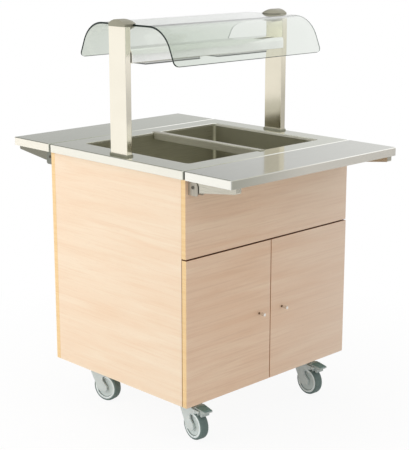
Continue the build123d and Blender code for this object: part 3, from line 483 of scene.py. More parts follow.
def brushed_paint(name, light, dark, along="X", roughness=0.28, lines=700.0, metallic=1.0, upright=1.0,
                  ends=None, sides=None, left=None, inside=None, behind=None, rim=None, bends=None):
    """Sheet metal with fine brush lines along one axis and faint cloudy wear.

    Upright faces may scatter more. The faces along X (ends) and Y (sides, their left stretch and those
    nearer the middle), what lies behind a place and the rim below a level may each have their own tone of
    painted light and shade, and the bends along the sides a painted highlight.
    """
    paint = Paint(name)
    stretch = [lines, lines, lines]
    stretch["XYZ".index(along)] = lines / BRUSH_LENGTH
    brush = paint.noise(stretch, detail=3.0, roughness=0.6)
    cloud = paint.noise(CLOUDS, detail=4.0, roughness=0.6)
    tone = paint.mix(paint.span(brush, *MID_NOISE), light, dark)
    tone = paint.mix(paint.span(cloud, *CLOUDS_SHOWN, 0.0, CLOUDS_SHARE), tone, dark)
    # Painted light and shade: the tones below stand in for how light falls on each face and place
    if left:
        sides = paint.mix(paint.span(paint.along("X"), *LEFT_PLACE), left, sides)
    if inside:
        reach, inner_tone = inside
        from_middle = paint.maths("ABSOLUTE", paint.along("Y"))
        sides = paint.mix(paint.span(from_middle, reach, reach + INSIDE_BLEND), inner_tone, sides)
    if behind:
        place, back_tone = behind
        beyond = paint.span(paint.along("Y"), place - BEHIND_BLEND, place + BEHIND_BLEND)
        tone = paint.mix(beyond, tone, back_tone)
    if rim:
        level, rim_tone = rim
        below = paint.span(paint.along("Z"), level + RIM_BLEND, level)
        tone = paint.mix(below, tone, rim_tone)
    for axis, own in (("X", ends), ("Y", sides)):
        if own:
            painted_face = paint.mix(paint.span(brush, *STREAKS_SHOWN, 0.0, STREAKS_SHARE), own, light)
            tone = paint.mix(paint.span(paint.facing(axis), *SQUARE_FACING), tone, painted_face)
    # Painted highlight along the bends, towards the right
    if bends:
        bent = paint.maths("MINIMUM", paint.facing("Y"), paint.facing("Z"))
        right = paint.span(paint.along("X"), *BENDS_PLACE)
        share = paint.maths("MULTIPLY", paint.span(bent, *BENT_FACING), right)
        tone = paint.mix(share, tone, bends)
    paint.set("Base Color", tone)
    wear = paint.span(cloud, *MID_NOISE, -BRUSHED_PLAY, BRUSHED_PLAY)
    marks = paint.span(brush, *MID_NOISE, -BRUSHED_PLAY, BRUSHED_PLAY)
    paint.set("Roughness", paint.maths("ADD", paint.maths("ADD", wear, marks), roughness))
    paint.set("Metallic", paint.span(paint.facing("Z"), *UPRIGHT_FACING, metallic * upright, metallic))
    paint.bump(brush, strength=0.03, depth=0.00002)
    return paint.material


def sheet_paint(name, light, dark, **tones):
    """Bright stainless sheet of the worktop and the shelves, with a painted highlight along its bends."""
    return brushed_paint(name, light, dark, roughness=0.12, upright=0.35, bends=BEND_HIGHLIGHT_TONE, **tones)


def coated_paint(name, colour, shade, roughness=0.4, metallic=0.0, relief=0.08):
    """Moulded plastic, lacquer or anodised metal: a fine even texture with faint mottling."""
    paint = Paint(name, Metallic=metallic)
    grain = paint.noise(COAT_GRAIN, detail=2.0)
    mottle = paint.noise(COAT_MOTTLE, detail=4.0, roughness=0.6)
    tone = paint.mix(paint.span(mottle, *MOTTLE_SHOWN, 0.0, MOTTLE_SHARE), colour, shade)
    tone = paint.mix(paint.span(grain, *GRAIN_SHOWN, 0.0, GRAIN_SHARE), tone, shade)
    paint.set("Base Color", tone)
    rough = paint.span(mottle, *MID_NOISE, roughness - COATED_PLAY, roughness + COATED_PLAY)
    paint.set("Roughness", rough)
    paint.bump(grain, strength=relief, depth=0.0001)
    return paint.material


def edge_paint(name, left_tone, right_tone):
    """Polished edge of a glass sheet: its own deep green, painted darker at the left as shade and paler to
    the right as light.
    """
    paint = Paint(name, Roughness=0.2, Specular_IOR_Level=0.3)
    share = paint.to_right(*EDGE_PLACE, EDGE_WOBBLE)
    paint.set("Base Color", paint.mix(share, left_tone, right_tone))
    return paint.material


def glass_paint(name, left_tint, right_tint, shade_tint):
    """Clear sheet with a faint tint, darker at the left and paler to the right as painted light and shade,
    that lets soft light through.
    """
    paint = Paint(name, Roughness=0.0, IOR=1.5, Transmission_Weight=1.0)
    share = paint.to_right(*GLASS_PLACE, GLASS_WOBBLE)
    paint.set("Base Color", paint.mix(share, left_tint, right_tint))
    rays = paint.node("ShaderNodeLightPath")
    soft = paint.maths("MAXIMUM", rays.outputs["Is Shadow Ray"], rays.outputs["Is Diffuse Ray"])
    through = paint.node("ShaderNodeBsdfTransparent")
    through.inputs["Color"].default_value = shade_tint
    paint.blend(soft, through.outputs["BSDF"])
    return paint.material


paints = {
    "end": board_paint("end_board", "X", *END_BEECH),
    # Front and back boards take the shaded copy of the beech: painted shade
    "front": board_paint("front_board", "Y", *SHADED_BEECH, split=True),
    "back": board_paint("back_board", "Y", *SHADED_BEECH),
    "floor": board_paint("floor_board", "Z", *END_BEECH),
    # Worktop: ends painted lighter, sides darker and darkest on the left stretch, paler round the well:
    # painted light and shade
    "worktop": sheet_paint(
        "worktop_sheet", srgb(206, 208, 194), srgb(193, 195, 181), ends=srgb(246, 243, 231),
        sides=srgb(226, 222, 208), left=srgb(84, 87, 80), inside=(WELL_SIDE, srgb(196, 192, 176))),
    # Front shelf: ends painted lighter, sides darker towards the left: painted light and shade
    "front_sheet": sheet_paint(
        "front_shelf_sheet", srgb(200, 201, 193), srgb(186, 187, 179), ends=srgb(254, 252, 243),
        sides=srgb(246, 241, 230), left=srgb(190, 189, 174)),
    # Back shelf: ends painted lighter, the sides nearer the middle darker: painted light and shade
    "back_sheet": sheet_paint(
        "back_shelf_sheet", srgb(197, 200, 186), srgb(183, 186, 172), ends=srgb(250, 244, 230),
        sides=srgb(236, 228, 214), inside=(SHELF_MIDDLE, srgb(132, 132, 124))),
    # Tank: ends and sides darker than the floor: painted shade in the well
    "tank": brushed_paint(
        "stainless_tank", srgb(230, 228, 208), srgb(207, 204, 183), roughness=0.30, metallic=0.45,
        ends=srgb(134, 131, 110), sides=srgb(158, 155, 134)),
    "bar": brushed_paint(
        "stainless_bar", srgb(206, 203, 184), srgb(178, 175, 157), along="Y", roughness=0.25, upright=0.45),
    "galvanised": brushed_paint(
        "galvanised", srgb(190, 193, 194), srgb(150, 154, 156), roughness=0.45, lines=90.0),
    "zinc": brushed_paint(
        "satin_zinc", srgb(200, 200, 196), srgb(165, 166, 162), along="Y", roughness=0.35),
    # Brackets: dark sides, and darker behind the middle: painted shade
    "bracket": brushed_paint(
        "bracket_steel", srgb(200, 192, 176), srgb(154, 150, 139), along="Z", roughness=0.3, lines=500.0,
        upright=0.45, sides=srgb(64, 66, 64), behind=(0.0, srgb(122, 124, 114))),
    # Arms: darker behind the middle: painted shade
    "arm": brushed_paint(
        "arm_steel", srgb(214, 210, 196), srgb(190, 186, 172), along="Y", roughness=0.2, upright=0.95,
        behind=(0.0, srgb(134, 132, 119))),
    # Knobs: darker at the neck next to the door: painted shade
    "knob": brushed_paint(
        "knob_metal", srgb(242, 239, 233), srgb(214, 211, 204), roughness=0.22, metallic=0.8,
        behind=(KNOB_NECK, srgb(124, 108, 90))),
    "near_post": coated_paint(
        "near_post_metal", srgb(250, 244, 228), srgb(245, 238, 221), roughness=0.16, metallic=1.0),
    # Far post: a darker copy of the near post's metal: painted shade
    "far_post": coated_paint(
        "shaded_far_post_metal", srgb(232, 225, 206), srgb(226, 219, 200), roughness=0.16, metallic=1.0),
    "cap": coated_paint(
        "cap_metal", srgb(162, 159, 141), srgb(142, 139, 122), roughness=0.34, metallic=0.6),
    "collar": coated_paint(
        "collar_metal", srgb(158, 156, 138), srgb(130, 128, 112), roughness=0.3, metallic=0.6),
    # Canopy glass: tint darker at the left, paler at the right: painted light and shade
    "glass": glass_paint("canopy_glass", srgb(216, 222, 214), srgb(238, 241, 237), srgb(250, 252, 250)),
    # Glass edge: its own deep green, darker at the left and paler at the right: painted light and shade
    "edge": edge_paint("glass_edge", srgb(16, 34, 28), srgb(112, 124, 118)),
    "gasket": coated_paint("gasket_rubber", srgb(52, 54, 52), srgb(38, 40, 38), roughness=0.7),
    "housing": coated_paint(
        "housing_metal", srgb(255, 255, 253), srgb(252, 253, 250), roughness=0.2, metallic=1.0, relief=0.0),
    "reflector": brushed_paint(
        "reflector_metal", srgb(236, 236, 234), srgb(214, 214, 212), roughness=0.15, upright=0.5,
        rim=(REFLECTOR_RIM, srgb(112, 115, 113))),
    # Quartz tubes: tint a little paler to the right: painted light
    "quartz": glass_paint("quartz_tube", srgb(240, 241, 240), srgb(246, 247, 246), srgb(250, 250, 250)),
    "coil": brushed_paint("coil_wire", srgb(150, 140, 128), srgb(112, 104, 96), roughness=0.4),
    "ceramic": coated_paint("ceramic_end", srgb(238, 234, 226), srgb(224, 218, 208), roughness=0.5),
    "brass": coated_paint(
        "valve_brass", srgb(212, 178, 106), srgb(176, 140, 76), roughness=0.34, metallic=1.0),
    "control": coated_paint("control_plastic", srgb(196, 198, 198), srgb(180, 182, 182), roughness=0.5),
    "dark": coated_paint("dark_plastic", srgb(48, 49, 51), srgb(36, 37, 39), roughness=0.45),
    "caster": coated_paint("caster_plastic", srgb(217, 225, 223), srgb(204, 213, 211), roughness=0.42),
    "disc": coated_paint("wheel_disc", srgb(219, 229, 226), srgb(206, 216, 213), roughness=0.45),
    "ring": coated_paint("wheel_ring", srgb(243, 251, 251), srgb(234, 243, 243), roughness=0.4),
    # Wheel groove: darker than the web: painted shade in the recess
    "groove": coated_paint("wheel_groove_shade", srgb(148, 160, 157), srgb(132, 145, 142), roughness=0.5),
    "pedal": coated_paint("pedal_plastic", srgb(188, 198, 195), srgb(172, 183, 180), roughness=0.45),
    "pad": coated_paint("pedal_pad", srgb(138, 166, 164), srgb(120, 148, 146), roughness=0.5),
    "axle": brushed_paint("caster_steel", srgb(200, 200, 198), srgb(160, 160, 158)),
    "bolt": brushed_paint(
        "bolt_zinc", srgb(214, 214, 210), srgb(172, 172, 168), along="Z", roughness=0.3),
    "tyre": coated_paint("tyre_rubber", srgb(112, 130, 126), srgb(90, 108, 104), roughness=0.62),
    "pin": coated_paint("pin_steel", srgb(104, 100, 90), srgb(84, 81, 73), roughness=0.4, metallic=0.6),
    "bumper": coated_paint("bumper_felt", srgb(226, 222, 212), srgb(206, 202, 192), roughness=0.8),
}

finishes = {
    "end": ["end_panel_left", "end_panel_right"],
    "front": ["apron_panel", "door_left", "door_right"],
    "back": ["back_panel"],
    "floor": ["bottom_panel"],
    "worktop": ["worktop"],
    "front_sheet": ["front_shelf"],
    "back_sheet": ["back_shelf"],
    "tank": ["well_tank"],
    "bar": ["cross_bar"],
    "galvanised": ["tank_jacket", "chassis_rails"],
    "zinc": ["hinge_arms", "hinge_cups_left", "hinge_cups_right", "heating_element", "caster_plates"],
    "bracket": ["wall_brackets"],
    "bolt": ["bracket_pins"],
    "arm": ["front_shelf_arms", "back_shelf_arms"],
    "knob": ["knob_left", "knob_right"],
    "near_post": ["post_left"],
    "far_post": ["post_right"],
    "cap": ["upper_caps", "lower_clamps"],
    "collar": ["post_collars"],
    "glass": ["canopy_glass"],
    "gasket": ["glass_gaskets"],
    "housing": ["lamp_housing"],
    "reflector": ["lamp_reflectors"],
    "ceramic": ["quartz_lamps"],
    "brass": ["drain_valve"],
    "control": ["control_box"],
    "dark": ["thermostat_knob", "lamp_switch", "cable_gland", "drain_lever"],
    "caster": ["caster_fork_" + place for place in PLACES],
    "pedal": ["brake_pedal_front_left", "brake_pedal_front_right"],
    "disc": ["caster_rim_" + place for place in PLACES],
    "axle": ["caster_axle_" + place for place in PLACES],
    "tyre": ["caster_tyre_" + place for place in PLACES],
}
for finish, members in finishes.items():
    for member in members:
        nodes[member].data.materials[0] = paints[finish]


class Shape:
    """Points and faces of one piece; each face has a kind, the number of its material."""

    def __init__(self):
        self.points = []
        self.faces = []
        self.kinds = []

    def skin(self, rings, kinds=0, looped=False):
        """Faces between neighbouring rings of points, capped at both ends unless looped."""
        rows = []
        for ring in rings:
            start = len(self.points)
            self.points.extend(ring)
            rows.append(range(start, len(self.points)))
        pairs = list(zip(rows, rows[1:]))
        if looped:
            pairs.append((rows[-1], rows[0]))
        else:
            self.faces.extend([tuple(rows[0]), tuple(rows[-1])])
            self.kinds.extend([kinds if isinstance(kinds, int) else kinds[0]] * 2)
        for index, (low, high) in enumerate(pairs):
            for here in range(len(low)):
                there = (here + 1) % len(low)
                self.faces.append((low[here], low[there], high[there], high[here]))
                self.kinds.append(kinds if isinstance(kinds, int) else kinds[index])

    def turned(self, profile, spot, steps=TURN_STEPS, kinds=0, looped=False):
        """Profile of (radius, level) points turned round a spot's Z axis.

        A radius may be a function of the angle.
        """
        rings = []
        for radius, level in profile:
            ring = []
            for step in range(steps):
                angle = math.tau * step / steps
                reach = radius(angle) if callable(radius) else radius
                ring.append(spot @ Vector((reach * math.cos(angle), reach * math.sin(angle), level)))
            rings.append(ring)
        self.skin(rings, kinds, looped)

    def slab(self, outline, low, high, spot, edge=BEVEL, kind=0):
        """Outline raised from one level of a spot to another, with bevelled edges."""
        rings = []
        for inset, level in ((edge, low), (0.0, low + edge), (0.0, high - edge), (edge, high)):
            rings.append([spot @ Vector((x, y, level)) for x, y in shrunk(outline, inset)])
        self.skin(rings, kind)

    def screw(self, spot, radius):
        """Domed screw head with a cross recess."""
        least = 0.001  # keeps the divisions finite

        def cross(share):
            def reach(angle):
                bars = []
                for turn in (angle, angle + math.pi / 2):
                    along = max(abs(math.cos(turn)), least)
                    across = max(abs(math.sin(turn)), least)
                    bars.append(min(share / along, CROSS_WIDTH * share / across))
                return radius * max(bars)
            return reach
        profile = [(share * radius, level * radius) for share, level in SCREW_DOME]
        profile += [(cross(share), level * radius) for share, level in SCREW_CROSS]
        self.turned(profile, spot)

    def bolt(self, spot, reach, height):
        """Hexagon head with a chamfered top on a washer."""
        def hexagon(angle):
            sixth = math.pi / 3
            return reach / math.cos((angle + sixth / 2) % sixth - sixth / 2)
        washer = BOLT_WASHER * reach
        thin = WASHER_LEVEL * height
        self.turned([(washer, 0.0), (washer, thin), (hexagon, thin), (hexagon, CHAMFER_LEVEL * height),
                     (BOLT_CROWN * reach, height)], spot)

    def piece(self, name, body, slot, *materials):
        """Make the object and let it ride on a body."""
        mesh = bpy.data.meshes.new(name)
        mesh.from_pydata(self.points, [], self.faces)
        for material in materials:
            mesh.materials.append(material)
        mesh.polygons.foreach_set("material_index", self.kinds)
        work = bmesh.new()
        work.from_mesh(mesh)
        bmesh.ops.recalc_face_normals(work, faces=work.faces)
        work.to_mesh(mesh)
        work.free()
        mesh.shade_smooth()
        mesh.set_sharp_from_angle(angle=SHARP_ANGLE)
        made = bpy.data.objects.new(name, mesh)
        bpy.context.scene.collection.objects.link(made)
        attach(made, body)
        return made


def spot_at(origin, along, up=(0.0, 0.0, 1.0)):
    """Place whose Z runs along a direction and whose Y points up as far as it can."""
    z = Vector(along).normalized()
    x = Vector(up).cross(z).normalized()
    y = z.cross(x)
    return Matrix.Translation(Vector(origin)) @ Matrix((x, y, z)).transposed().to_4x4()


def shrunk(outline, inset):
    """Outline, listed anticlockwise, moved inwards by a distance."""
    moved = []
    for index, point in enumerate(outline):
        before = (point - outline[index - 1]).normalized()
        after = (outline[(index + 1) % len(outline)] - point).normalized()
        inward = Vector((-before.y - after.y, before.x + after.x))
        inward /= max(inward.length_squared / 2, MITRE_LIMIT)
        moved.append(point + inward * inset)
    return moved


def rounded(corners, radius):
    """Outline through (x, y) corners, listed anticlockwise, each rounded by an arc."""
    outline = []
    for index, corner in enumerate(corners):
        corner = Vector(corner)
        back = (Vector(corners[index - 1]) - corner).normalized()
        ahead = (Vector(corners[(index + 1) % len(corners)]) - corner).normalized()
        half = back.angle(ahead) / 2
        centre = corner + (back + ahead).normalized() * radius / math.sin(half)
        start = corner + back * radius / math.tan(half) - centre
        turn = math.pi - 2 * half
        for step in range(ARC_STEPS + 1):
            outline.append(centre + Matrix.Rotation(turn * step / ARC_STEPS, 2) @ start)
    return outline


def rectangle(half_x, half_y, radius, middle=(0.0, 0.0)):
    """Rounded rectangle about a middle."""
    left, right = middle[0] - half_x, middle[0] + half_x
    low, high = middle[1] - half_y, middle[1] + half_y
    return rounded([(left, low), (right, low), (right, high), (left, high)], radius)


def add_wheels():
    """Moulded wheel discs with a groove, painted darker as shade, and a pale ring, and their grey tyres."""
    half_disc = [(AXLE_BORE, HUB_HALF),
                 (HUB_RADIUS - HUB_ROUND, HUB_HALF),
                 (HUB_RADIUS, HUB_HALF - HUB_ROUND),
                 (HUB_RADIUS + HUB_DRAFT, WEB_HALF + HUB_FOOT),
                 (HUB_RADIUS + HUB_FOOT, WEB_HALF),
                 (RING_INNER - GROOVE_WIDTH, WEB_HALF),
                 (RING_INNER - GROOVE_SLOPE, WEB_HALF + GROOVE_RISE),
                 (RING_INNER + RING_SLOPE, RING_HALF - RING_DROP),
                 (RING_INNER + RING_ROUND, RING_HALF),
                 (RIM_RADIUS - RIM_ROUND, RING_HALF),
                 (RIM_RADIUS - RIM_SLOPE, RING_HALF - RIM_DROP),
                 (RIM_RADIUS, RING_HALF - RIM_EDGE)]
    # The groove's faces take the darker paint: painted shade in the recess
    web, ring, groove = range(3)
    half_kinds = [web] * 5 + [groove] * 2 + [ring] * 4
    disc = half_disc + [(radius, -level) for radius, level in reversed(half_disc)]
    disc_kinds = half_kinds + [ring] + half_kinds[::-1] + [web]
    half_tyre = [(TYRE_BORE, TYRE_HALF)]
    for step in range(SHOULDER_STEPS + 1):
        angle = math.pi / 2 * step / SHOULDER_STEPS
        half_tyre.append((TYRE_SHOULDER + (WHEEL_RADIUS - TYRE_SHOULDER) * math.sin(angle),
                          TYRE_TREAD + (TYRE_HALF - TYRE_TREAD) * math.cos(angle)))
    half_tyre += [(WHEEL_RADIUS, TYRE_LINE), (WHEEL_RADIUS - LINE_DEPTH, LINE_FLOOR)]
    tyre = half_tyre + [(radius, -level) for radius, level in reversed(half_tyre)]
    for place in PLACES:
        joint = joints["roll_" + place]
        spot = spot_at(joint["pos_m"], joint["axis"])
        shape = Shape()
        shape.turned(disc, spot, DISC_STEPS, disc_kinds, looped=True)
        made = shape.piece("wheel_disc_" + place, joint["child"], "caster_plastic",
                           paints["disc"], paints["ring"], paints["groove"])
        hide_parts("caster_rim_" + place)
        shape = Shape()
        shape.turned(tyre, spot, TYRE_STEPS, looped=True)
        made = shape.piece("tyre_" + place, joint["child"], "tyre_rubber", paints["tyre"])
        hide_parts("caster_tyre_" + place)


def add_pedal_pads():
    """Ribbed pads on the brake pedals."""
    outline = rounded([(-PEDAL_WIDE, PEDAL_START), (PEDAL_WIDE, PEDAL_START),
                       (PEDAL_NARROW, PEDAL_END), (-PEDAL_NARROW, PEDAL_END)], PAD_CORNER)
    pad_top = PEDAL_TOP + PAD_THICKNESS
    for place in PLACES[:2]:
        joint = joints["brake_" + place]
        swivel = Vector(joints["swivel_" + place]["pos_m"])
        out = Vector(joint["pos_m"]) - swivel
        out.z = 0.0
        out.normalize()
        level = Vector((0.0, 0.0, 1.0))
        up = out * math.sin(PEDAL_SLOPE) + level * math.cos(PEDAL_SLOPE)
        ahead = out * math.cos(PEDAL_SLOPE) - level * math.sin(PEDAL_SLOPE)
        spot = spot_at(joint["pos_m"], up, ahead)
        shape = Shape()
        shape.slab(outline, PEDAL_TOP, pad_top, spot)
        for rib in range(PAD_RIBS):
            middle = (0.0, PEDAL_END - RIB_START - rib * RIB_PITCH)
            bar = rectangle(PEDAL_NARROW - RIB_MARGIN, RIB_HALF, RIB_CORNER, middle)
            shape.slab(bar, pad_top - RIB_SINK, pad_top + RIB_HEIGHT, spot, edge=FINE_BEVEL)
        shape.piece("brake_pad_" + place, joint["child"], "caster_plastic", paints["pad"])


def add_plate_bolts():
    """Hexagon bolts that hold the caster plates to the chassis rails."""
    shape = Shape()
    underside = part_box("caster_plates")[1].z - PLATE_SHEET
    for place in PLACES:
        swivel = joints["swivel_" + place]["pos_m"]
        for side_x in (-1, 1):
            for side_y in (-1, 1):
                x = swivel[0] + side_x * PLATE_BOLTS[0]
                y = swivel[1] + side_y * PLATE_BOLTS[1]
                spot = spot_at((x, y, underside), (0, 0, -1), (0, 1, 0))
                shape.bolt(spot, BOLT_REACH, BOLT_HEIGHT)
    shape.piece("caster_plate_bolts", "counter", "satin_zinc", paints["bolt"])


def add_canopy():
    """Bent sheet of glass with polished edges and rounded corners."""
    low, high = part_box("canopy_glass")
    bend = GLASS_BEND * GLASS_TURN
    reach = GLASS_FLAT + bend + GLASS_LIP
    middle = (low + high) / 2

    def section(run):
        """Point of the outer face and its outward direction, a given run from the middle."""
        side = math.copysign(1.0, run)
        run = abs(run)
        turn = min(max(run - GLASS_FLAT, 0.0) / GLASS_BEND, GLASS_TURN)
        y = min(run, GLASS_FLAT) + GLASS_BEND * math.sin(turn)
        z = GLASS_BEND * (math.cos(turn) - 1.0)
        over = max(run - GLASS_FLAT - bend, 0.0)
        y += over * math.cos(turn)
        z -= over * math.sin(turn)
        out = Vector((0.0, side * math.sin(turn), math.cos(turn)))
        return Vector((0.0, side * y, high.z + z)), out

    # Runs from the middle to one lip, each with its inset at the sheet's ends and its share of the thickness
    half_runs = [(GLASS_FLAT * step / FLAT_STEPS, 0.0, 1.0) for step in range(FLAT_STEPS)]
    half_runs += [(GLASS_FLAT + bend * step / BEND_STEPS, 0.0, 1.0) for step in range(BEND_STEPS + 1)]
    corner_start = reach - GLASS_CORNER
    for step in range(CORNER_STEPS + 1):
        angle = math.pi / 2 * step / CORNER_STEPS
        half_runs.append((corner_start + (GLASS_CORNER - GLASS_POLISH) * math.sin(angle),
                          GLASS_CORNER * (1.0 - math.cos(angle)), 1.0))
    half_runs.append((reach, GLASS_CORNER + GLASS_POLISH, GLASS_EDGE))
    runs = [(-run, inset, thick) for run, inset, thick in reversed(half_runs[1:])] + half_runs
    levels = (GLASS_EDGE, 1.0, 1.0, 1.0, GLASS_EDGE)
    rings = []
    for run, inset, thick in runs:
        point, out = section(run)
        centre = point - out * GLASS / 2
        half = GLASS / 2 * thick
        left = low.x + inset
        right = high.x - inset
        across = (left, left + GLASS_POLISH, middle.x, right - GLASS_POLISH, right)
        inner = [centre - out * half * level + Vector((x, 0.0, 0.0)) for x, level in zip(across, levels)]
        outer = [centre + out * half * level + Vector((x, 0.0, 0.0)) for x, level in zip(across, levels)]
        rings.append(inner + outer[::-1])
    sheet, edge = range(2)
    shape = Shape()
    shape.skin(rings, sheet)
    count = len(rings[0])
    left_columns = {0, 1, 8, 9}
    right_columns = {3, 4, 5, 6}
    for index, face in enumerate(shape.faces):
        columns = {corner % count for corner in face}
        last_rows = min(corner // count for corner in face) >= len(rings) - 2
        first_rows = max(corner // count for corner in face) <= 1
        if columns <= left_columns or columns <= right_columns or last_rows or first_rows:
            shape.kinds[index] = edge
    made = shape.piece("canopy_sheet", "counter", "canopy_glass", paints["glass"], paints["edge"])
    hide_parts("canopy_glass")


def add_lamps():
    """Quartz tubes with a coiled wire between ceramic ends."""
    low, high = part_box("quartz_lamps")
    middle = (low + high) / 2
    tube, cap, coil = range(3)
    inner = LAMP_RADIUS - LAMP_GLASS
    first = CAP_LENGTH - LAMP_SEAT
    side = rectangle(CAP_HALF, CAP_HALF, CAP_CORNER)
    shape = Shape()
    for start, end in ((low.x, middle.x - LAMP_GAP / 2), (middle.x + LAMP_GAP / 2, high.x)):
        spot = spot_at((start, middle.y, middle.z), (1, 0, 0))
        length = end - start
        last = length - first
        profile = [(inner, first), (LAMP_RADIUS, first), (LAMP_RADIUS, last), (inner, last)]
        shape.turned(profile, spot, LAMP_STEPS, tube, looped=True)
        for near, far in ((CAP_GAP, CAP_LENGTH), (length - CAP_LENGTH, length - CAP_GAP)):
            shape.slab(side, near, far, spot, edge=CAP_BEVEL, kind=cap)
        rings = []
        turns = (last - first) / COIL_PITCH
        steps = int(turns * COIL_STEPS)
        for step in range(steps + 1):
            angle = math.tau * turns * step / steps
            out = Vector((math.cos(angle), math.sin(angle), 0.0))
            centre = out * COIL_RADIUS + Vector((0.0, 0.0, first + (last - first) * step / steps))
            ring = []
            for corner in range(COIL_CORNERS):
                around = math.tau * corner / COIL_CORNERS
                offset = out * math.cos(around) + Vector((0.0, 0.0, math.sin(around)))
                ring.append(spot @ (centre + offset * COIL_WIRE))
            rings.append(ring)
        shape.skin(rings, coil)
    made = shape.piece("quartz_lamp_tubes", "counter", "quartz_tube",
                       paints["quartz"], paints["ceramic"], paints["coil"])
    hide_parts("quartz_lamps")


def add_reflector_screws():
    """Screws through the flanges of the reflectors."""
    shape = Shape()
    low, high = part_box("lamp_reflectors")
    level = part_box("lamp_housing")[0].z - REFLECTOR_SHEET
    for start in (low.x, high.x - REFLECTOR_LENGTH):
        for x in (start + REFLECTOR_INSET, start + REFLECTOR_LENGTH - REFLECTOR_INSET):
            for y in (low.y + REFLECTOR_INSET, high.y - REFLECTOR_INSET):
                shape.screw(spot_at((x, y, level), (0, 0, -1), (0, 1, 0)), REFLECTOR_SCREW)
    shape.piece("reflector_screws", "counter", "satin_zinc", paints["bolt"])


def add_hinge_fittings():
    """Screwed ears of the hinge cups and bumpers on the doors, and screwed plates under the hinge arms."""
    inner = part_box("door_left")[1].y
    ear = rectangle(*EAR_HALVES, EAR_CORNER)
    metal, felt = range(2)
    for side, door in ((-1, "door_left"), (1, "door_right")):
        low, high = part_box(door)
        edge = low.x if side < 0 else high.x
        shape = Shape()
        for level in CUP_LEVELS:
            for up in (-1, 1):
                x = edge - side * (CUP_INSET + EAR_INSET)
                z = level + up * EAR_REACH
                spot = spot_at((x, inner, z), (0, 1, 0))
                shape.slab(ear, 0.0, EAR_SHEET, spot, edge=FINE_BEVEL, kind=metal)
                shape.screw(spot_at((x, inner + EAR_SHEET, z), (0, 1, 0)), EAR_SCREW)
        for share in BUMPER_SHARES:
            x = edge - side * (high.x - low.x) * share
            spot = spot_at((x, inner, BUMPER_LEVEL), (0, 1, 0))
            shape.turned(BUMPER_PROFILE, spot, BUMPER_STEPS, felt)
        shape.piece("hinge_ears_" + door, door, "satin_zinc", paints["bolt"], paints["bumper"])
    shape = Shape()
    low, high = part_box("hinge_arms")
    y = low.y + WING_PLACE
    wing = rectangle(*WING_HALVES, WING_CORNER)
    for side, wall in ((-1, low.x), (1, high.x)):
        top = wall - side * WING_SHEET
        for level in CUP_LEVELS:
            for up in (-1, 1):
                z = level + up * WING_REACH
                spot = spot_at((wall, y, z), (-side, 0, 0))
                shape.slab(wing, 0.0, WING_SHEET, spot, edge=FINE_BEVEL)
                shape.screw(spot_at((top, y, z + up * WING_SHIFT), (-side, 0, 0)), WING_SCREW)
    shape.piece("hinge_plates", "counter", "satin_zinc", paints["bolt"])


def add_control_marks():
    """Screws at the corners of the control housing, and the scale round its dial."""
    low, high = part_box("control_box")
    shape = Shape()
    for x in (low.x + BOX_INSET, high.x - BOX_INSET):
        for z in (low.z + BOX_INSET, high.z - BOX_INSET):
            shape.screw(spot_at((x, low.y, z), (0, -1, 0)), BOX_SCREW)
    shape.piece("control_screws", "counter", "satin_zinc", paints["bolt"])
    dial = Vector(joints["thermostat_turn"]["pos_m"])
    shape = Shape()
    for tick in range(DIAL_TICKS + 1):
        turn = DIAL_SWEEP * tick / DIAL_TICKS
        out = Vector((math.sin(turn), 0.0, math.cos(turn)))
        spot = spot_at(Vector((dial.x, low.y, dial.z)) + out * DIAL_RADIUS, (0, -1, 0), out)
        stroke = rectangle(TICK_HALF, TICK_SHORT if tick % 2 else TICK_LONG, TICK_CORNER)
        shape.slab(stroke, -TICK_SINK, TICK_HEIGHT, spot, edge=TICK_BEVEL)
    shape.piece("dial_scale", "counter", "dark_plastic", paints["dark"])


def add_pin_heads():
    """Domed heads of the bracket pins."""
    low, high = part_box("bracket_pins")
    shape = Shape()
    for fold in ("front_shelf_fold", "back_shelf_fold"):
        pivot = joints[fold]["pos_m"]
        for side, x in ((-1, low.x), (1, high.x)):
            spot = spot_at((x, pivot[1], pivot[2]), (side, 0, 0))
            shape.turned(PIN_PROFILE, spot, PIN_STEPS)
    shape.piece("pin_heads", "counter", "satin_zinc", paints["pin"])


def add_camera():
    """Camera at the photograph's place and direction."""
    yaw = math.radians(CAMERA_YAW)
    pitch = math.radians(CAMERA_PITCH)
    ahead = Vector((math.sin(yaw) * math.cos(pitch), math.cos(yaw) * math.cos(pitch), -math.sin(pitch)))
    right = Vector((math.cos(yaw), -math.sin(yaw), 0.0))
    up = right.cross(ahead)
    data = bpy.data.cameras.new("camera")
    data.sensor_width = SENSOR
    data.lens = CAMERA_FOCAL * SENSOR / PICTURE_HEIGHT
    camera = bpy.data.objects.new("camera", data)
    turn = Matrix((right, up, -ahead)).transposed()
    camera.matrix_world = Matrix.Translation(CAMERA_PLACE) @ turn.to_4x4()
    bpy.context.scene.collection.objects.link(camera)
    bpy.context.scene.camera = camera


def add_light(name, place, size, power):
    """Square soft light that looks at the counter."""
    data = bpy.data.lights.new(name, "AREA")
    data.size = size
    data.energy = power
    light = bpy.data.objects.new(name, data)
    light.location = place
    light.rotation_euler = (Vector(AIM) - Vector(place)).to_track_quat("-Z", "Y").to_euler()
    light.visible_glossy = False
    bpy.context.scene.collection.objects.link(light)


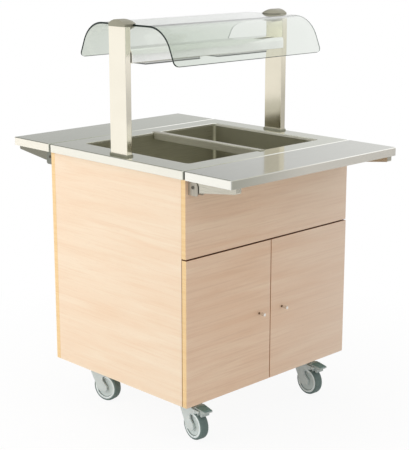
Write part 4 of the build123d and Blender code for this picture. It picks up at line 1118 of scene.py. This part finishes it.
def add_world():
    """Even white surroundings and a plain level of light; mirrors see the upper back dimmer."""
    world = bpy.data.worlds.new("studio")
    world.use_nodes = True
    bpy.context.scene.world = world
    sky = NodeMaker(world.node_tree)
    ahead = sky.span(sky.along("Y", "Generated"), *BACK_AHEAD, 0.0, MIRROR_BACK, curve="SMOOTHSTEP")
    above = sky.span(sky.along("Z", "Generated"), *BACK_ABOVE, curve="SMOOTHSTEP")
    white = sky.mirror_level(sky.maths("MULTIPLY", ahead, above))
    level = sky.span(sky.seen_directly(), 0.0, 1.0, WORLD_LIGHT, white)
    background = world.node_tree.nodes["Background"]
    background.inputs["Color"].default_value = (1.0, 1.0, 1.0, 1.0)
    sky.plug(level, background.inputs["Strength"])


def add_floor():
    """Pale floor that keeps the shadow and fades into the white surroundings.

    Mirrors see a stretch of it at the front right dimmer.
    """
    half = FLOOR_SIZE / 2
    corners = [(-half, -half, 0), (half, -half, 0), (half, half, 0), (-half, half, 0)]
    mesh = bpy.data.meshes.new("floor")
    mesh.from_pydata(corners, [], [(0, 1, 2, 3)])
    floor = bpy.data.objects.new("floor", mesh)
    bpy.context.scene.collection.objects.link(floor)
    paint = Paint("pale_floor", Base_Color=srgb(246, 246, 245), Roughness=0.9)
    length = paint.node("ShaderNodeVectorMath", operation="LENGTH")
    paint.plug(paint.place.outputs["Object"], length.inputs[0])
    veil = paint.span(length.outputs["Value"], FLOOR_NEAR, FLOOR_FAR, FLOOR_VEIL, 1.0)
    aside = paint.maths("SUBTRACT", paint.along("X"), paint.along("Y"))
    near = paint.span(aside, *FRONT_NEAR, 0.0, MIRROR_FRONT, curve="SMOOTHSTEP")
    far = paint.span(aside, *FRONT_FAR, 1.0, 0.0, curve="SMOOTHSTEP")
    white = paint.node("ShaderNodeEmission")
    paint.plug(paint.mirror_level(paint.maths("MULTIPLY", near, far)), white.inputs["Strength"])
    paint.blend(paint.maths("MULTIPLY", veil, paint.seen_directly()), white.outputs["Emission"])
    mesh.materials.append(paint.material)


add_wheels()
add_pedal_pads()
add_plate_bolts()
add_canopy()
add_lamps()
add_reflector_screws()
add_hinge_fittings()
add_control_marks()
add_pin_heads()
add_camera()
add_light("key", KEY_PLACE, KEY_SIZE, KEY_POWER)
add_light("top", TOP_PLACE, TOP_SIZE, TOP_POWER)
add_world()
add_floor()

bpy.context.scene.view_settings.view_transform = "Standard"
